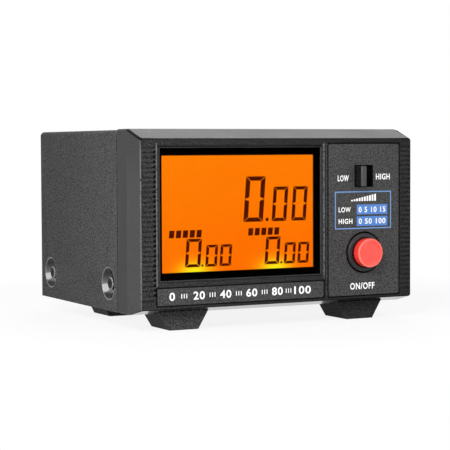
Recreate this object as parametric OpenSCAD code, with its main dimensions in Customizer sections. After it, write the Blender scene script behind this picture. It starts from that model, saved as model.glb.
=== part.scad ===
// Bench power and standing-wave meter for radio: a moulded front bezel with a
// back-lit display, a range slide switch and a power button, a folded cover
// on a folded chassis, and four coaxial sockets on the rear wall.
// +X is to the right seen from the front, +Y points to the rear, +Z is up.
// The origin is under the middle of the part, on the surface it stands on.

/* [Case] */
// Width over the bezel
case_w = 120; // [116:1:140]
// Height from the underside to the top
case_h = 70; // [67:0.2:84]
// Depth from the front face to the rear edge of the cover
case_d = 102.5; // [98:0.5:130]
// Sheet thickness of the cover and of the chassis
sheet_t = 1; // [0.8:0.1:1.4]
// How far the bezel stands proud of the cover
cover_step = 0.3; // [0.1:0.05:0.6]
// Outer radius of the cover's two long bends
bend_r = 1.8; // [1.6:0.1:4]
// How far the rear wall sits inside the rear edge of the cover
rear_inset = 1; // [0.4:0.1:3]
// Clearance between the cover and what it slides over
cover_gap = 0.2; // [0.1:0.05:0.4]

/* [Bezel] */
// Depth of the bezel, from the front face to its seam with the cover
bezel_d = 20.7; // [20.5:0.1:26]
// Wall thickness round the bezel
bezel_wall = 2; // [1.8:0.1:2.6]
// Depth of the sloped brow and chin
slope_d = 11.7; // [7:0.1:12]
// How far the brow falls towards the front
brow_drop = 3.8; // [2:0.1:5]
// How far the chin rises towards the front
chin_rise = 2.6; // [1.6:0.1:3.6]
// How far each cheek draws in towards the front
cheek_taper = 0.35; // [0.1:0.05:0.8]
// Radius of the bezel's long corners
corner_r = 1; // [0.6:0.1:1.6]
// Length of the lip that tucks under the cover
lip_len = 3; // [2:0.1:5]
// Thickness of that lip
lip_t = 1.2; // [1:0.1:1.6]

/* [Ribbed cheeks] */
// Distance from rib to rib
rib_pitch = 1.83; // [1.4:0.01:2.4]
// Width of a groove between two ribs
groove_w = 0.85; // [0.6:0.05:1]
// Depth of a groove
groove_d = 0.5; // [0.3:0.05:0.8]
// Length of the ribs on the left cheek
left_rib_w = 5.1; // [4.8:0.1:8]
// Length of the ribs on the right cheek
right_rib_w = 4.2; // [3:0.1:6]
// Distance of the ribs from the front's side edges
rib_margin = 0.65; // [0.4:0.05:1.2]
// Distance of the ribs from the recess and from the control plate
rib_gap = 0.8; // [0.5:0.05:1.5]
// Clear height above and below each column of ribs
rib_end = 1.9; // [1:0.1:4]

/* [Display] */
// Clear height above the display recess
recess_top = 2.1; // [1.6:0.1:4]
// Clear height between the name strip and the display recess
recess_gap = 1.4; // [1.2:0.1:3]
// Width of the chamfered lip round the window
chamfer_w = 1.4; // [0.8:0.1:2]
// Depth of that lip
chamfer_d = 1; // [0.6:0.1:1.6]
// Thickness of the clear window
window_t = 1.5; // [1:0.1:2]
// How far the window reaches behind the lip
window_lap = 1.2; // [0.8:0.1:1.5]
// Thickness of the black mask behind the window
mask_t = 0.5; // [0.3:0.1:0.8]
// Width of black at the left and right of the display
mask_side = 1.8; // [1:0.1:4]
// Width of black above and below the display
mask_end = 2.5; // [1:0.1:4]
// Thickness of the display glass
lcd_t = 2.2; // [1.6:0.1:2.8]
// Thickness of the light guide
guide_t = 3.2; // [2.8:0.1:4]
// Wall thickness of the display tray
tray_t = 1.2; // [0.8:0.1:1.4]
// Distance between the two back-light LEDs
led_pitch = 35; // [20:1:44]

/* [Plates] */
// Width of the control plate
plate_w = 33; // [29:0.5:36]
// Thickness of the control plate
plate_t = 1.5; // [1.2:0.1:2]
// Width of the wall between the display recess and the control plate
divider_w = 2.2; // [2.2:0.1:5]
// Height of the name strip
strip_h = 6.5; // [5:0.1:10]
// Thickness of the name strip
strip_t = 1; // [0.8:0.1:1.5]
// Clear height below the name strip and the control plate
strip_margin = 1.4; // [0.9:0.1:2.5]
// Width of the groove round each plate
plate_gap = 0.35; // [0.15:0.05:0.5]
// Corner radius of the plates
plate_r = 1; // [0.6:0.1:2]

/* [Range switch] */
// Width and height of the square slot
slot_size = 8.65; // [8:0.05:10]
// Distance of the slot's middle below the top of the control plate
slot_drop = 12.8; // [9:0.1:16]
// Width of the knob, along its travel
knob_w = 2.5; // [2:0.1:3.5]
// How far the knob stands out of the front
knob_out = 4.8; // [3:0.1:5]
// Clearance of the knob at each end of its travel
knob_end_gap = 0.15; // [0.1:0.05:0.4]
// Clearance above and below the knob
knob_side_gap = 0.42; // [0.2:0.02:0.8]
// Depth of the switch behind the control plate
range_depth = 8; // [7:0.1:9]

/* [Power button] */
// Height of the button's axis above the bottom of the control plate
button_rise = 17; // [12:0.1:22]
// Outer radius of the collar
collar_r = 7.6; // [7.4:0.1:9]
// How far the collar stands out of the front
collar_out = 0.8; // [0.4:0.1:1.5]
// Width of the groove round the collar
collar_groove = 0.7; // [0.3:0.05:1]
// Radius of the cap
cap_r = 5.8; // [4.8:0.1:6.2]
// How far the cap stands out of the front
cap_out = 5.1; // [5:0.1:7]
// Clearance between the cap and the collar
cap_gap = 0.2; // [0.1:0.05:0.4]
// Travel of the button
button_travel = 3; // [1.5:0.1:3.2]
// Radius of the plunger
plunger_r = 2; // [1.5:0.1:2.4]
// Coils of the return spring
spring_turns = 4; // [3:1:5]

/* [Main board] */
// Depth from the front face to the main board
board_d = 15.6; // [15.4:0.1:17]
// Thickness of the boards
board_t = 1.6; // [1:0.1:2]
// Radius of the bosses that carry the main board
boss_r = 2.2; // [2:0.1:2.4]

/* [Feet] */
// Height of the feet below the case
foot_h = 6.1; // [5:0.1:12]
// Width of a foot where it stands
foot_w = 12.2; // [9:0.1:18]
// How far each side of a foot flares out up to the case
foot_flare = 3.15; // [1:0.05:4]
// Length of a foot, front to rear
foot_len = 16.5; // [12:0.5:18]
// Distance of the feet's middles from the sides of the case
foot_inset = 20.8; // [16:0.2:30]
// Distance of the front feet behind the front face
front_foot_d = 6; // [4:0.5:8]
// Distance of the rear feet behind the front face
rear_foot_d = 63.2; // [40:0.2:66]

/* [Cover screws] */
// Radius of the pressed dish round each screw
dish_r = 6.2; // [5:0.1:7]
// Radius of the dish's flat bottom
dish_flat_r = 3; // [2.8:0.1:3.6]
// Depth of the dish
dish_depth = 2.3; // [1.5:0.1:2.6]
// Height of the dishes above the underside
dish_z = 10.6; // [8:0.1:16]
// Distance of the front dishes behind the bezel's seam
dish_front = 10; // [7.6:0.1:14]
// Distance of the rear dishes from the rear edge of the cover
dish_rear = 10.4; // [9:0.1:16]

/* [Sockets] */
// Distance of the sockets' axes from the sides of the case
socket_inset = 26; // [24:0.5:30]
// Distance between the lower and the upper sockets
socket_pitch = 28; // [27:0.5:30]
// Width and height of a socket's flange
flange_size = 25.4; // [24:0.1:26]
// Thickness of that flange
flange_t = 2.5; // [1.6:0.1:4]
// Distance between the flange's holes
flange_pitch = 18.3; // [17.6:0.1:19]
// Outer radius of the socket's thread
thread_r = 7.94; // [7.5:0.01:8.2]
// Length of the threaded barrel
thread_len = 13.5; // [10:0.1:16]
// Radius of the socket's bore
socket_bore_r = 5.8; // [5:0.05:6.2]
// How far the insulator sits inside the rim
insulator_inset = 1.6; // [0.8:0.1:3]
// Outer radius of the centre contact
contact_r = 3; // [2.6:0.05:3.4]
// Radius of the centre contact's bore
contact_bore_r = 2; // [1.6:0.01:2.2]
// Depth of the centre contact's bore
contact_bore_len = 9; // [6:0.1:10]
// Width of each notch in the socket's rim
notch_w = 2.6; // [1.6:0.1:3.2]
// Depth of those notches
notch_d = 1.2; // [0.6:0.1:1.4]

/* [Sensor boxes] */
// Depth of each sensor box
sensor_d = 24; // [20:0.5:30]
// Wall thickness of each sensor box
sensor_t = 1.2; // [1:0.1:1.6]
// Radius of the through line
line_r = 1.6; // [1.2:0.05:1.8]

/* [Inlet] */
// Height of the inlet above the underside
inlet_z = 14; // [10:0.5:24]
// Outer radius of the inlet's barrel
inlet_r = 4; // [3.8:0.1:5]
// Radius of the inlet's bore
inlet_bore_r = 2.9; // [2.75:0.05:3.2]
// Radius of the inlet's pin
inlet_pin_r = 1.05; // [0.8:0.05:1.25]
// Length of the barrel behind the rear wall
inlet_len = 11; // [9:0.5:14]

/* [Hidden] */
$fn = 48;
// Small overshoot of a cut past the face it opens
cut = 0.5;
// Gap between pieces that are pushed together by hand
fit_gap = 0.1;
// Radial gap of a screw in its clearance hole, and in its own thread
screw_gap = 0.15;
thread_gap = 0.02;
// Radial gap of a shaft that slides in its bore
running_gap = 0.06;
// Gap of the moving switch carriage to its guides
carriage_gap = 0.3;

// Origin of the case: the front face, and the underside of the case
case_front_out = max(cap_out, knob_out);
rear_out = case_d - rear_inset;
socket_out = flange_t + thread_len;
total_d = case_front_out + rear_out + socket_out;
front_y = case_front_out - total_d / 2;

// Bezel
front_w = case_w - 2 * cheek_taper;
front_top = case_h - brow_drop;
front_wall = chamfer_d + window_t;
inner_half = case_w / 2 - bezel_wall;
seam_gap = 0.1;
lip_clear = 3;
lip_from = dish_z + dish_r + lip_clear;
lip_root = 1.5;

// Cover and chassis
cover_w = case_w - 2 * cover_step;
cover_top = case_h - cover_step;
cover_front = bezel_d + seam_gap;
chassis_w = cover_w - 2 * (sheet_t + cover_gap);
chassis_top = cover_top - sheet_t - cover_gap;
tongue_front = slope_d + fit_gap;
tongue_gap = 1;
tongue_w = case_w - 2 * (bezel_wall + tongue_gap);
rear_flange = 8;
under_bend_r = max(fit_gap, bend_r - sheet_t - cover_gap);
dish_ys = [bezel_d + dish_front, case_d - dish_rear];
tab_x = cover_w / 2 - dish_depth - sheet_t - fit_gap;
tab_w = 13;
tab_foot = 8;
tab_top = dish_z + tab_w / 2;

// Display: the recess, the window opening and the lit field
plate_x1 = front_w / 2 - rib_margin - right_rib_w - rib_gap;
plate_x0 = plate_x1 - plate_w;
plate_z0 = chin_rise + strip_margin;
plate_z1 = front_top - recess_top;
recess_x0 = -front_w / 2 + rib_margin + left_rib_w + rib_gap;
recess_x1 = plate_x0 - divider_w;
recess_z0 = plate_z0 + strip_h + recess_gap;
recess_z1 = plate_z1;
open_x0 = recess_x0 + chamfer_w;
open_x1 = recess_x1 - chamfer_w;
open_z0 = recess_z0 + chamfer_w;
open_z1 = recess_z1 - chamfer_w;
window_x0 = open_x0 - window_lap;
window_x1 = open_x1 + window_lap;
window_z0 = open_z0 - window_lap;
window_z1 = open_z1 + window_lap;
field_x0 = open_x0 + mask_side;
field_x1 = open_x1 - mask_side;
field_z0 = open_z0 + mask_end;
field_z1 = open_z1 - mask_end;
glass_d = front_wall + mask_t;
guide_d = glass_d + lcd_t;
tray_d = guide_d + guide_t;
tray_in_x0 = window_x0 + tray_t;
tray_in_x1 = window_x1 - tray_t;
tray_in_z0 = window_z0 + tray_t;
tray_in_z1 = window_z1 - tray_t;
led_strip_t = 0.8;
led_h = 1.4;
led_w = 3.2;
led_cup_r = 1.1;
led_cup_d = 0.4;
guide_z0 = tray_in_z0 + led_strip_t + led_h + fit_gap;
ribbon_t = 0.3;
ribbon_w = 44;
ribbon_in = 1.6;
ribbon_z = tray_in_z1 - ribbon_in;
ribbon_clear = 0.6;
guide_z1 = ribbon_z - ribbon_clear;
leg_r = 2.2;
leg_inset = 5;
leg_xs = [window_x0 + leg_inset, window_x1 - leg_inset];
leg_zs = [window_z0 + leg_inset, window_z1 - leg_inset];

// Controls
plate_x = (plate_x0 + plate_x1) / 2;
slot_z = plate_z1 - slot_drop;
button_z = plate_z0 + button_rise;
knob_h = slot_size - 2 * knob_side_gap;
knob_travel = slot_size - knob_w - 2 * knob_end_gap;
knob_x = plate_x - knob_travel / 2;
knob_bevel = 0.35;
frame_t = 0.5;
carriage_w = slot_size + knob_travel + 2 * carriage_gap;
carriage_lap = 0.7;
carriage_h = slot_size + 2 * carriage_lap;
range_in_w = carriage_w + knob_travel + 2 * carriage_gap;
range_in_h = carriage_h + 2 * carriage_gap;
range_d0 = plate_t;
range_d1 = plate_t + range_depth;
carriage_d0 = range_d0 + frame_t + carriage_gap;
carriage_t = 2.4;
carriage_d1 = carriage_d0 + carriage_t;
range_base_d = carriage_d1 + carriage_gap;
range_leg_w = 3;
sleeve_t = 0.9;
sleeve_in_r = cap_r + cap_gap;
sleeve_r = sleeve_in_r + sleeve_t;
cap_rear = front_wall;
cap_bevel = 0.5;
collar_bevel = 0.3;
spring_wire_r = 0.25;
spring_clear = 1;
spring_r = plunger_r + spring_clear;
spring_room = 2.1;
power_d0 = cap_rear + button_travel + spring_room;
power_size = 9;
plunger_front = -cap_out / 2;
plunger_hold = 2.4;
plunger_rear = power_d0 + plunger_hold;
stop_gap = 0.4;
plunger_stop = plunger_rear + button_travel + stop_gap;

// Main board
board_screw_r = 1.25;
board_head_r = 2.3;
board_head_h = 1.6;
board_hole_len = 6;
board_grip = 3.5;
board_gap = 0.6;
board_low = 5.4;
board_high = 1.2;
board_half = inner_half - board_gap;
board_z0 = chin_rise + board_low;
board_z1 = front_top - board_high;
board_rear = board_d + board_t;
head_gap = 0.4;
boss_x = inner_half - board_head_r - head_gap;
boss_inset = 3.5;
boss_zs = [board_z0 + boss_inset, board_z1 - boss_inset];
boss_web_t = 1.4;
pin_r = 0.4;
pin_out = 1.4;
range_pin_pitch = 5.5;
range_pin_z = 3;
power_pin = 3;
chip_size = 14;
chip_t = 1.6;
chip_x = -17;
regulator_w = 10;
regulator_t = 4.4;
regulator_h = 9;
regulator_x = -15;
regulator_up = 3;
capacitor_r = 4;
capacitor_h = 11;
capacitor_x = -12;
capacitor_pitch = 12;
capacitor_drop = 9;
header_w = 8;
header_t = 5;
header_h = 6;
inlet_header_up = 6;

// Feet and their screws
foot_x = case_w / 2 - foot_inset;
foot_slope = foot_flare / foot_h;
foot_ys = [front_foot_d, rear_foot_d];
foot_screw_r = 1.5;
foot_head_r = 2.7;
foot_head_h = 2;
foot_head_z = -foot_h / 2;
screw_tail = 2;
foot_screw_top = bezel_wall + sheet_t + screw_tail;

// Cover screws
cover_screw_r = 1.5;
cover_head_r = 2.6;
cover_head_h = 1.7;
cover_screw_len = 6;

// Sockets and sensor boxes
socket_names = ["hf_tx", "hf_ant", "vhf_tx", "vhf_ant"];
band_names = ["hf", "vhf"];
socket_x = case_w / 2 - socket_inset;
band_xs = [-socket_x, socket_x];
socket_mid = chassis_top / 2;
socket_low = socket_mid - socket_pitch / 2;
socket_high = socket_mid + socket_pitch / 2;
socket_places = [for (x = band_xs) for (z = [socket_high, socket_low]) [x, z]];
socket_end = rear_out + flange_t + thread_len;
insulator_end = socket_end - insulator_inset;
insulator_step = 0.3;
insulator_step_r = socket_bore_r + insulator_step;
socket_hole_r = insulator_step_r + fit_gap;
wall_in = rear_out - sheet_t;
insulator_tail = 1;
insulator_start = wall_in - sensor_t - insulator_tail;
contact_end = insulator_end - fit_gap;
contact_tail = 13;
contact_start = wall_in - contact_tail;
cup_t = 0.9;
cup_r = line_r + cup_t;
flange_corner_r = 1.5;
rim_bevel = 0.6;
flange_screw_r = 1.5;
flange_head_r = 2.7;
flange_head_h = 1.8;
line_y = contact_start + line_r + cup_t;
line_over = 1;
sensor_margin = 0.3;
sensor_w = flange_size + 2 * sensor_margin;
sensor_z0 = socket_low - sensor_w / 2;
sensor_z1 = socket_high + sensor_w / 2;
sensor_front = wall_in - sensor_d;
lid_t = 1;
lid_rim = 3;
sensor_board_in = 7;
sensor_board_gap = 1;
cable_r = 1.1;
gland_gap = 0.3;
gland_r = cable_r + gland_gap;

// Inlet
inlet_lap = 1.6;
inlet_flange_r = inlet_r + inlet_lap;
inlet_flange_t = 1.6;
inlet_bevel = 0.4;
inlet_start = wall_in - inlet_len;
inlet_floor_t = 2;
inlet_floor = inlet_start + inlet_floor_t;
inlet_nut_t = 2.2;
inlet_nut_wall = 2;
inlet_pin_in = 0.8;
inlet_pin_end = rear_out + inlet_flange_t - inlet_pin_in;

// Colours
black_plastic = [0.16, 0.16, 0.17];
dark_paint = [0.2, 0.2, 0.21];
plate_grey = [0.24, 0.24, 0.25];
mask_black = [0.03, 0.03, 0.03];
lcd_orange = [1, 0.5, 0.05];
button_red = [0.95, 0.25, 0.2];
steel = [0.7, 0.7, 0.72];
nickel = [0.78, 0.76, 0.7];
brass = [0.8, 0.66, 0.3];
ptfe_white = [0.92, 0.91, 0.88];
board_green = [0.1, 0.35, 0.2];
rubber_black = [0.1, 0.1, 0.1];
screw_black = [0.09, 0.09, 0.1];

switch_nodes = [
  "range_knob", "range_switch_frame", "range_switch_body",
  "power_button", "power_plunger", "power_spring", "power_switch_body",
  "button_collar", "switch_pins"
];
foot_names = ["front_left_foot", "front_right_foot", "rear_left_foot", "rear_right_foot"];

// Places what is drawn from the front face and the underside of the case
module placed() translate([0, front_y, foot_h]) children();

// Profile in the side view (depth, height), drawn out along X about the middle
module across(w) rotate([90, 0, 90]) translate([0, 0, -w / 2]) linear_extrude(w) children();

// Profile in the front view (x, height), drawn out along Y between two depths
module deep(d0, d1) translate([0, d1, 0]) rotate([90, 0, 0]) linear_extrude(d1 - d0) children();

// Box between two corners
module block(a, b) translate(a) cube(b - a);

// Round bar along Y between two depths
module bar(r, d0, d1) translate([0, d0, 0]) rotate([-90, 0, 0]) cylinder(r = r, h = d1 - d0);

// Profile of radius and depth, turned about Y
module turned(profile) rotate([-90, 0, 0]) rotate_extrude() polygon(profile);

// Rectangle with round corners between two corners
module round_rect(x0, z0, x1, z1, r) {
  translate([x0 + r, z0]) square([x1 - x0 - 2 * r, z1 - z0]);
  translate([x0, z0 + r]) square([x1 - x0, z1 - z0 - 2 * r]);
  for (x = [x0 + r, x1 - r])
    for (z = [z0 + r, z1 - r])
      translate([x, z]) circle(r);
}

// Screw with a pan head, along +Y from under its head
module screw(r, length, head_r, head_h) turned([
  [0, -head_h], [head_r * 0.8, -head_h], [head_r, -head_h * 0.55], [head_r, 0],
  [r, 0], [r, length], [0, length]
]);

// Tube of radius r with six or more sides swept along a list of points
function unit(v) = v / norm(v);
function tangent(path, i) =
  unit(path[min(i + 1, len(path) - 1)] - path[max(i - 1, 0)]);
function ring(centre, t, side, r, sides) =
  let (u = unit(cross(t, side)), v = cross(u, t))
  [for (k = [0 : sides - 1]) centre + r * (cos(360 * k / sides) * u + sin(360 * k / sides) * v)];
module tube(path, r, sides, side) {
  last = len(path) - 1;
  points = [for (i = [0 : last]) each ring(path[i], tangent(path, i), side, r, sides)];
  walls = [
    for (i = [0 : last - 1]) for (k = [0 : sides - 1])
      let (a = i * sides + k, b = i * sides + (k + 1) % sides)
      each [[a, b, b + sides], [a, b + sides, a + sides]]
  ];
  caps = [
    [for (k = [sides - 1 : -1 : 0]) k],
    [for (k = [0 : sides - 1]) last * sides + k]
  ];
  polyhedron(points, concat(caps, walls));
}

// Smooth curve from a to b that leaves and arrives along Y
function cable_point(a, b, t) =
  let (c = [0, (b.y - a.y) / 2, 0])
  a * pow(1 - t, 3) + 3 * (a + c) * t * pow(1 - t, 2)
  + 3 * (b - c) * t * t * (1 - t) + b * pow(t, 3);
function cable_path(a, b, steps) = [for (i = [0 : steps]) cable_point(a, b, i / steps)];

// Bezel: outer form, drawn as the overlap of its side, top and front views
module bezel_form() {
  side = [
    [0, chin_rise], [slope_d, 0], [bezel_d, 0],
    [bezel_d, case_h], [slope_d, case_h], [0, front_top]
  ];
  half = case_w / 2;
  plan = [
    [-front_w / 2, 0], [front_w / 2, 0], [half, slope_d],
    [half, bezel_d], [-half, bezel_d], [-half, slope_d]
  ];
  intersection() {
    across(case_w) polygon(side);
    linear_extrude(case_h) polygon(plan);
    deep(0, bezel_d) round_rect(-half, 0, half, case_h, corner_r);
  }
}

// Bezel: hollow behind the front wall
module bezel_hollow() across(2 * inner_half) polygon([
  [front_wall, chin_rise + bezel_wall], [slope_d, bezel_wall], [bezel_d + cut, bezel_wall],
  [bezel_d + cut, case_h - bezel_wall], [slope_d, case_h - bezel_wall],
  [front_wall, front_top - bezel_wall]
]);

// Bezel: lip at the rear that tucks under the cover's top and sides
module bezel_lip() {
  root_half = inner_half + fit_gap;
  root_top = case_h - bezel_wall + fit_gap;
  half = chassis_w / 2;
  in_half = half - lip_t;
  in_top = chassis_top - lip_t;
  lip_end = bezel_d + lip_len;
  difference() {
    union() {
      deep(bezel_d - lip_root, lip_end) fold_outline(half, chassis_top, under_bend_r);
      block([-root_half, bezel_d - lip_root, 0], [root_half, bezel_d, root_top]);
    }
    block([-in_half, 0, -cut], [in_half, lip_end + cut, in_top]);
    block([-case_w, 0, -cut], [case_w, lip_end + cut, lip_from]);
  }
}

// Bezel: boss for a board screw, tied to the side wall by a web
module board_boss(side) {
  web = side * (inner_half - boss_x + fit_gap);
  root = front_wall - fit_gap;
  bar(boss_r, root, board_d);
  block([min(0, web), root, -boss_web_t / 2], [max(0, web), board_d, boss_web_t / 2]);
}

// Bezel: chamfered funnel from the front face down to the window opening
module display_funnel() {
  out = chamfer_w * cut / chamfer_d;
  intersection() {
    linear_extrude(case_h) polygon([
      [recess_x0 - out, -cut], [recess_x1 + out, -cut], [open_x1, chamfer_d],
      [open_x1, front_wall], [open_x0, front_wall], [open_x0, chamfer_d]
    ]);
    across(case_w) polygon([
      [-cut, recess_z0 - out], [chamfer_d, open_z0], [front_wall, open_z0],
      [front_wall, open_z1], [chamfer_d, open_z1], [-cut, recess_z1 + out]
    ]);
  }
}

// Bezel: column of grooves that leaves the ribs of a cheek standing
module rib_grooves(x0, x1) {
  room = front_top - chin_rise - 2 * rib_end;
  count = floor(room / rib_pitch);
  first = (front_top + chin_rise - (count - 1) * rib_pitch) / 2;
  for (i = [0 : count - 1])
    translate([x0, -cut, first + i * rib_pitch - groove_w / 2])
      cube([x1 - x0, cut + groove_d, groove_w]);
}

module front_bezel() color(black_plastic) placed() difference() {
  union() {
    difference() {
      bezel_form();
      bezel_hollow();
    }
    bezel_lip();
    for (side = [-1, 1])
      for (z = boss_zs)
        translate([side * boss_x, 0, z]) board_boss(side);
  }
  display_funnel();
  block(
    [window_x0 - fit_gap, chamfer_d, window_z0 - fit_gap],
    [window_x1 + fit_gap, front_wall + cut, window_z1 + fit_gap]
  );
  deep(-cut, strip_t) plate_outline(recess_x0, plate_z0, recess_x1, plate_z0 + strip_h, plate_gap);
  deep(-cut, plate_t) plate_outline(plate_x0, plate_z0, plate_x1, plate_z1, plate_gap);
  translate([plate_x, 0, slot_z]) range_room();
  translate([plate_x, 0, button_z]) bar(sleeve_r + plate_gap, 0, front_wall + cut);
  rib_grooves(-front_w / 2 + rib_margin, -front_w / 2 + rib_margin + left_rib_w);
  rib_grooves(front_w / 2 - rib_margin - right_rib_w, front_w / 2 - rib_margin);
  for (x = [-boss_x, boss_x])
    for (z = boss_zs)
      translate([x, 0, z]) bar(board_screw_r + thread_gap, board_d - board_hole_len, board_d + cut);
  for (x = [-foot_x, foot_x])
    translate([x, front_foot_d + foot_len / 2, -cut])
      cylinder(r = foot_screw_r + screw_gap, h = bezel_wall + 2 * cut);
}

// Outline of a plate, grown by a gap
module plate_outline(x0, z0, x1, z1, gap)
  round_rect(x0 - gap, z0 - gap, x1 + gap, z1 + gap, plate_r + gap);

// Opening in the bezel's wall that the range switch stands in
module range_room() {
  half_w = range_in_w / 2 + frame_t + plate_gap;
  half_h = range_in_h / 2 + frame_t + plate_gap;
  block([-half_w, 0, -half_h], [half_w, front_wall + cut, half_h]);
}

// Cover: folded over the top and both sides
module top_cover() color(dark_paint) placed() difference() {
  union() {
    deep(cover_front, case_d) difference() {
      fold_outline(cover_w / 2, cover_top, bend_r);
      translate([0, -cut]) fold_outline(cover_w / 2 - sheet_t, cover_top - sheet_t + cut, bend_r - sheet_t);
    }
    at_dishes() dish_back();
  }
  at_dishes() dish_front_cut();
}

// Arch of the cover, with its two bends
module fold_outline(half, top, r) {
  translate([-half, 0]) square([2 * half, top - r]);
  translate([-half + r, 0]) square([2 * half - 2 * r, top]);
  for (x = [-half + r, half - r])
    translate([x, top - r]) circle(r);
}

// Places its children at each dish, with +Z pointing into the case from the cover's face
module at_dishes()
  for (side = [-1, 1])
    for (y = dish_ys)
      translate([side * cover_w / 2, y, dish_z]) rotate([0, -90 * side, 0]) children();

// Back of a pressed dish
module dish_back() {
  slope = (dish_r - dish_flat_r) / dish_depth;
  back_r = dish_flat_r + sheet_t;
  translate([0, 0, sheet_t / 2])
    cylinder(r1 = back_r + slope * (dish_depth + sheet_t / 2), r2 = back_r, h = dish_depth + sheet_t / 2);
}

// Hollow of a pressed dish and its screw hole
module dish_front_cut() {
  slope = (dish_r - dish_flat_r) / dish_depth;
  translate([0, 0, -cut])
    cylinder(r1 = dish_r + slope * cut, r2 = dish_flat_r, h = dish_depth + cut);
  cylinder(r = cover_screw_r + screw_gap, h = dish_depth + sheet_t + cut);
}

// Chassis: tongue under the bezel, floor, rear wall and top flange folded from one sheet
module chassis() color(steel) placed() difference() {
  union() {
    difference() {
      intersection() {
        across(chassis_w) chassis_profile();
        deep(0, rear_out + cut) fold_outline(chassis_w / 2, chassis_top, under_bend_r);
      }
      for (side = [-1, 1])
        translate([side * (tongue_w / 2 + case_w / 2), 0, bezel_wall + sheet_t / 2])
          cube([case_w, 2 * cover_front, sheet_t + cut], center = true);
    }
    for (side = [-1, 1])
      for (y = dish_ys)
        translate([0, y, 0]) screw_tab(side);
  }
  at_dishes() cylinder(r = cover_screw_r + thread_gap, h = dish_depth + 3 * sheet_t + cut);
  for (x = [-foot_x, foot_x])
    for (y = foot_ys)
      translate([x, y + foot_len / 2, -cut])
        cylinder(r = foot_screw_r + thread_gap, h = bezel_wall + sheet_t + 2 * cut);
  for (p = socket_places)
    translate([p.x, 0, p.y]) {
      bar(socket_hole_r, wall_in - cut, rear_out + cut);
      at_flange_holes() bar(flange_screw_r + screw_gap, wall_in - cut, rear_out + cut);
    }
  translate([0, 0, inlet_z]) bar(inlet_r + fit_gap, wall_in - cut, rear_out + cut);
}

// Chassis: side view of the sheet, with the bends at the foot and the top of the rear wall
module chassis_profile() {
  bend_y = rear_out - bend_r;
  polygon([
    [tongue_front, bezel_wall], [cover_front, bezel_wall], [cover_front, 0], [bend_y, 0],
    [bend_y, sheet_t], [cover_front + sheet_t, sheet_t],
    [cover_front + sheet_t, bezel_wall + sheet_t], [tongue_front, bezel_wall + sheet_t]
  ]);
  translate([bend_y, 0]) sheet_bend(bend_r, -bend_r);
  translate([wall_in, bend_r]) square([sheet_t, chassis_top - 2 * bend_r]);
  translate([bend_y, 0]) sheet_bend(chassis_top - bend_r, 0);
  translate([rear_out - rear_flange, chassis_top - sheet_t]) square([rear_flange - bend_r, sheet_t]);
}

// Quarter of a ring about height z, drawn from z + low upwards
module sheet_bend(z, low) translate([0, z]) intersection() {
  difference() {
    circle(bend_r);
    circle(bend_r - sheet_t);
  }
  translate([0, low]) square(bend_r);
}

// Angle that takes a cover screw, standing on the chassis floor
module screw_tab(side) {
  outer = side * tab_x;
  inner = side * (tab_x - sheet_t);
  foot = side * (tab_x - tab_foot);
  block(
    [min(outer, inner), -tab_w / 2, sheet_t / 2],
    [max(outer, inner), tab_w / 2, tab_top]
  );
  block(
    [min(outer, foot), -tab_w / 2, sheet_t / 2],
    [max(outer, foot), tab_w / 2, 2 * sheet_t]
  );
}

module display_window() color([0.75, 0.8, 0.82, 0.35]) placed()
  block([window_x0, chamfer_d, window_z0], [window_x1, front_wall, window_z1]);

module display_mask() color(mask_black) placed() difference() {
  block([window_x0, front_wall, window_z0], [window_x1, glass_d, window_z1]);
  block([field_x0, front_wall - cut, field_z0], [field_x1, glass_d + cut, field_z1]);
}

module lcd_glass() color(lcd_orange) placed() block(
  [tray_in_x0 + fit_gap, glass_d, tray_in_z0 + fit_gap],
  [tray_in_x1 - fit_gap, guide_d, tray_in_z1 - fit_gap]
);

module light_guide() color(ptfe_white) placed() block(
  [tray_in_x0 + fit_gap, guide_d, guide_z0],
  [tray_in_x1 - fit_gap, tray_d, guide_z1]
);

module display_tray() color(ptfe_white) placed() difference() {
  union() {
    block([window_x0, glass_d, window_z0], [window_x1, tray_d + tray_t, window_z1]);
    for (x = leg_xs)
      for (z = leg_zs)
        translate([x, 0, z]) bar(leg_r, tray_d + tray_t / 2, board_d);
  }
  block([tray_in_x0, glass_d - cut, tray_in_z0], [tray_in_x1, tray_d, tray_in_z1]);
  for (x = leg_xs)
    for (z = leg_zs)
      translate([x, 0, z]) bar(board_screw_r + thread_gap, tray_d + tray_t, board_d + cut);
  translate([(window_x0 + window_x1) / 2, 0, ribbon_z])
    block(
      [-ribbon_w / 2 - fit_gap, tray_d - cut, -ribbon_t / 2 - fit_gap],
      [ribbon_w / 2 + fit_gap, tray_d + tray_t + cut, ribbon_t / 2 + fit_gap]
    );
}

module led_strip() color(board_green) placed() block(
  [tray_in_x0 + fit_gap, guide_d, tray_in_z0],
  [tray_in_x1 - fit_gap, tray_d, tray_in_z0 + led_strip_t]
);

module backlight_leds() color([1, 0.85, 0.4]) placed()
  for (side = [-1, 1])
    translate([(field_x0 + field_x1 + side * led_pitch) / 2, guide_d + guide_t / 2, tray_in_z0 + led_strip_t])
      difference() {
        translate([-led_w / 2, -guide_t / 2 + fit_gap, 0]) cube([led_w, guide_t - 2 * fit_gap, led_h]);
        translate([0, 0, led_h - led_cup_d])
          cylinder(r1 = led_cup_r - led_cup_d, r2 = led_cup_r, h = led_cup_d + fit_gap);
      }

module display_ribbon() color([0.6, 0.45, 0.25]) placed()
  translate([(window_x0 + window_x1) / 2, 0, ribbon_z]) block(
    [-ribbon_w / 2, guide_d, -ribbon_t / 2],
    [ribbon_w / 2, board_d, ribbon_t / 2]
  );

module name_strip() color(plate_grey) placed()
  deep(0, strip_t) plate_outline(recess_x0, plate_z0, recess_x1, plate_z0 + strip_h, 0);

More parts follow.
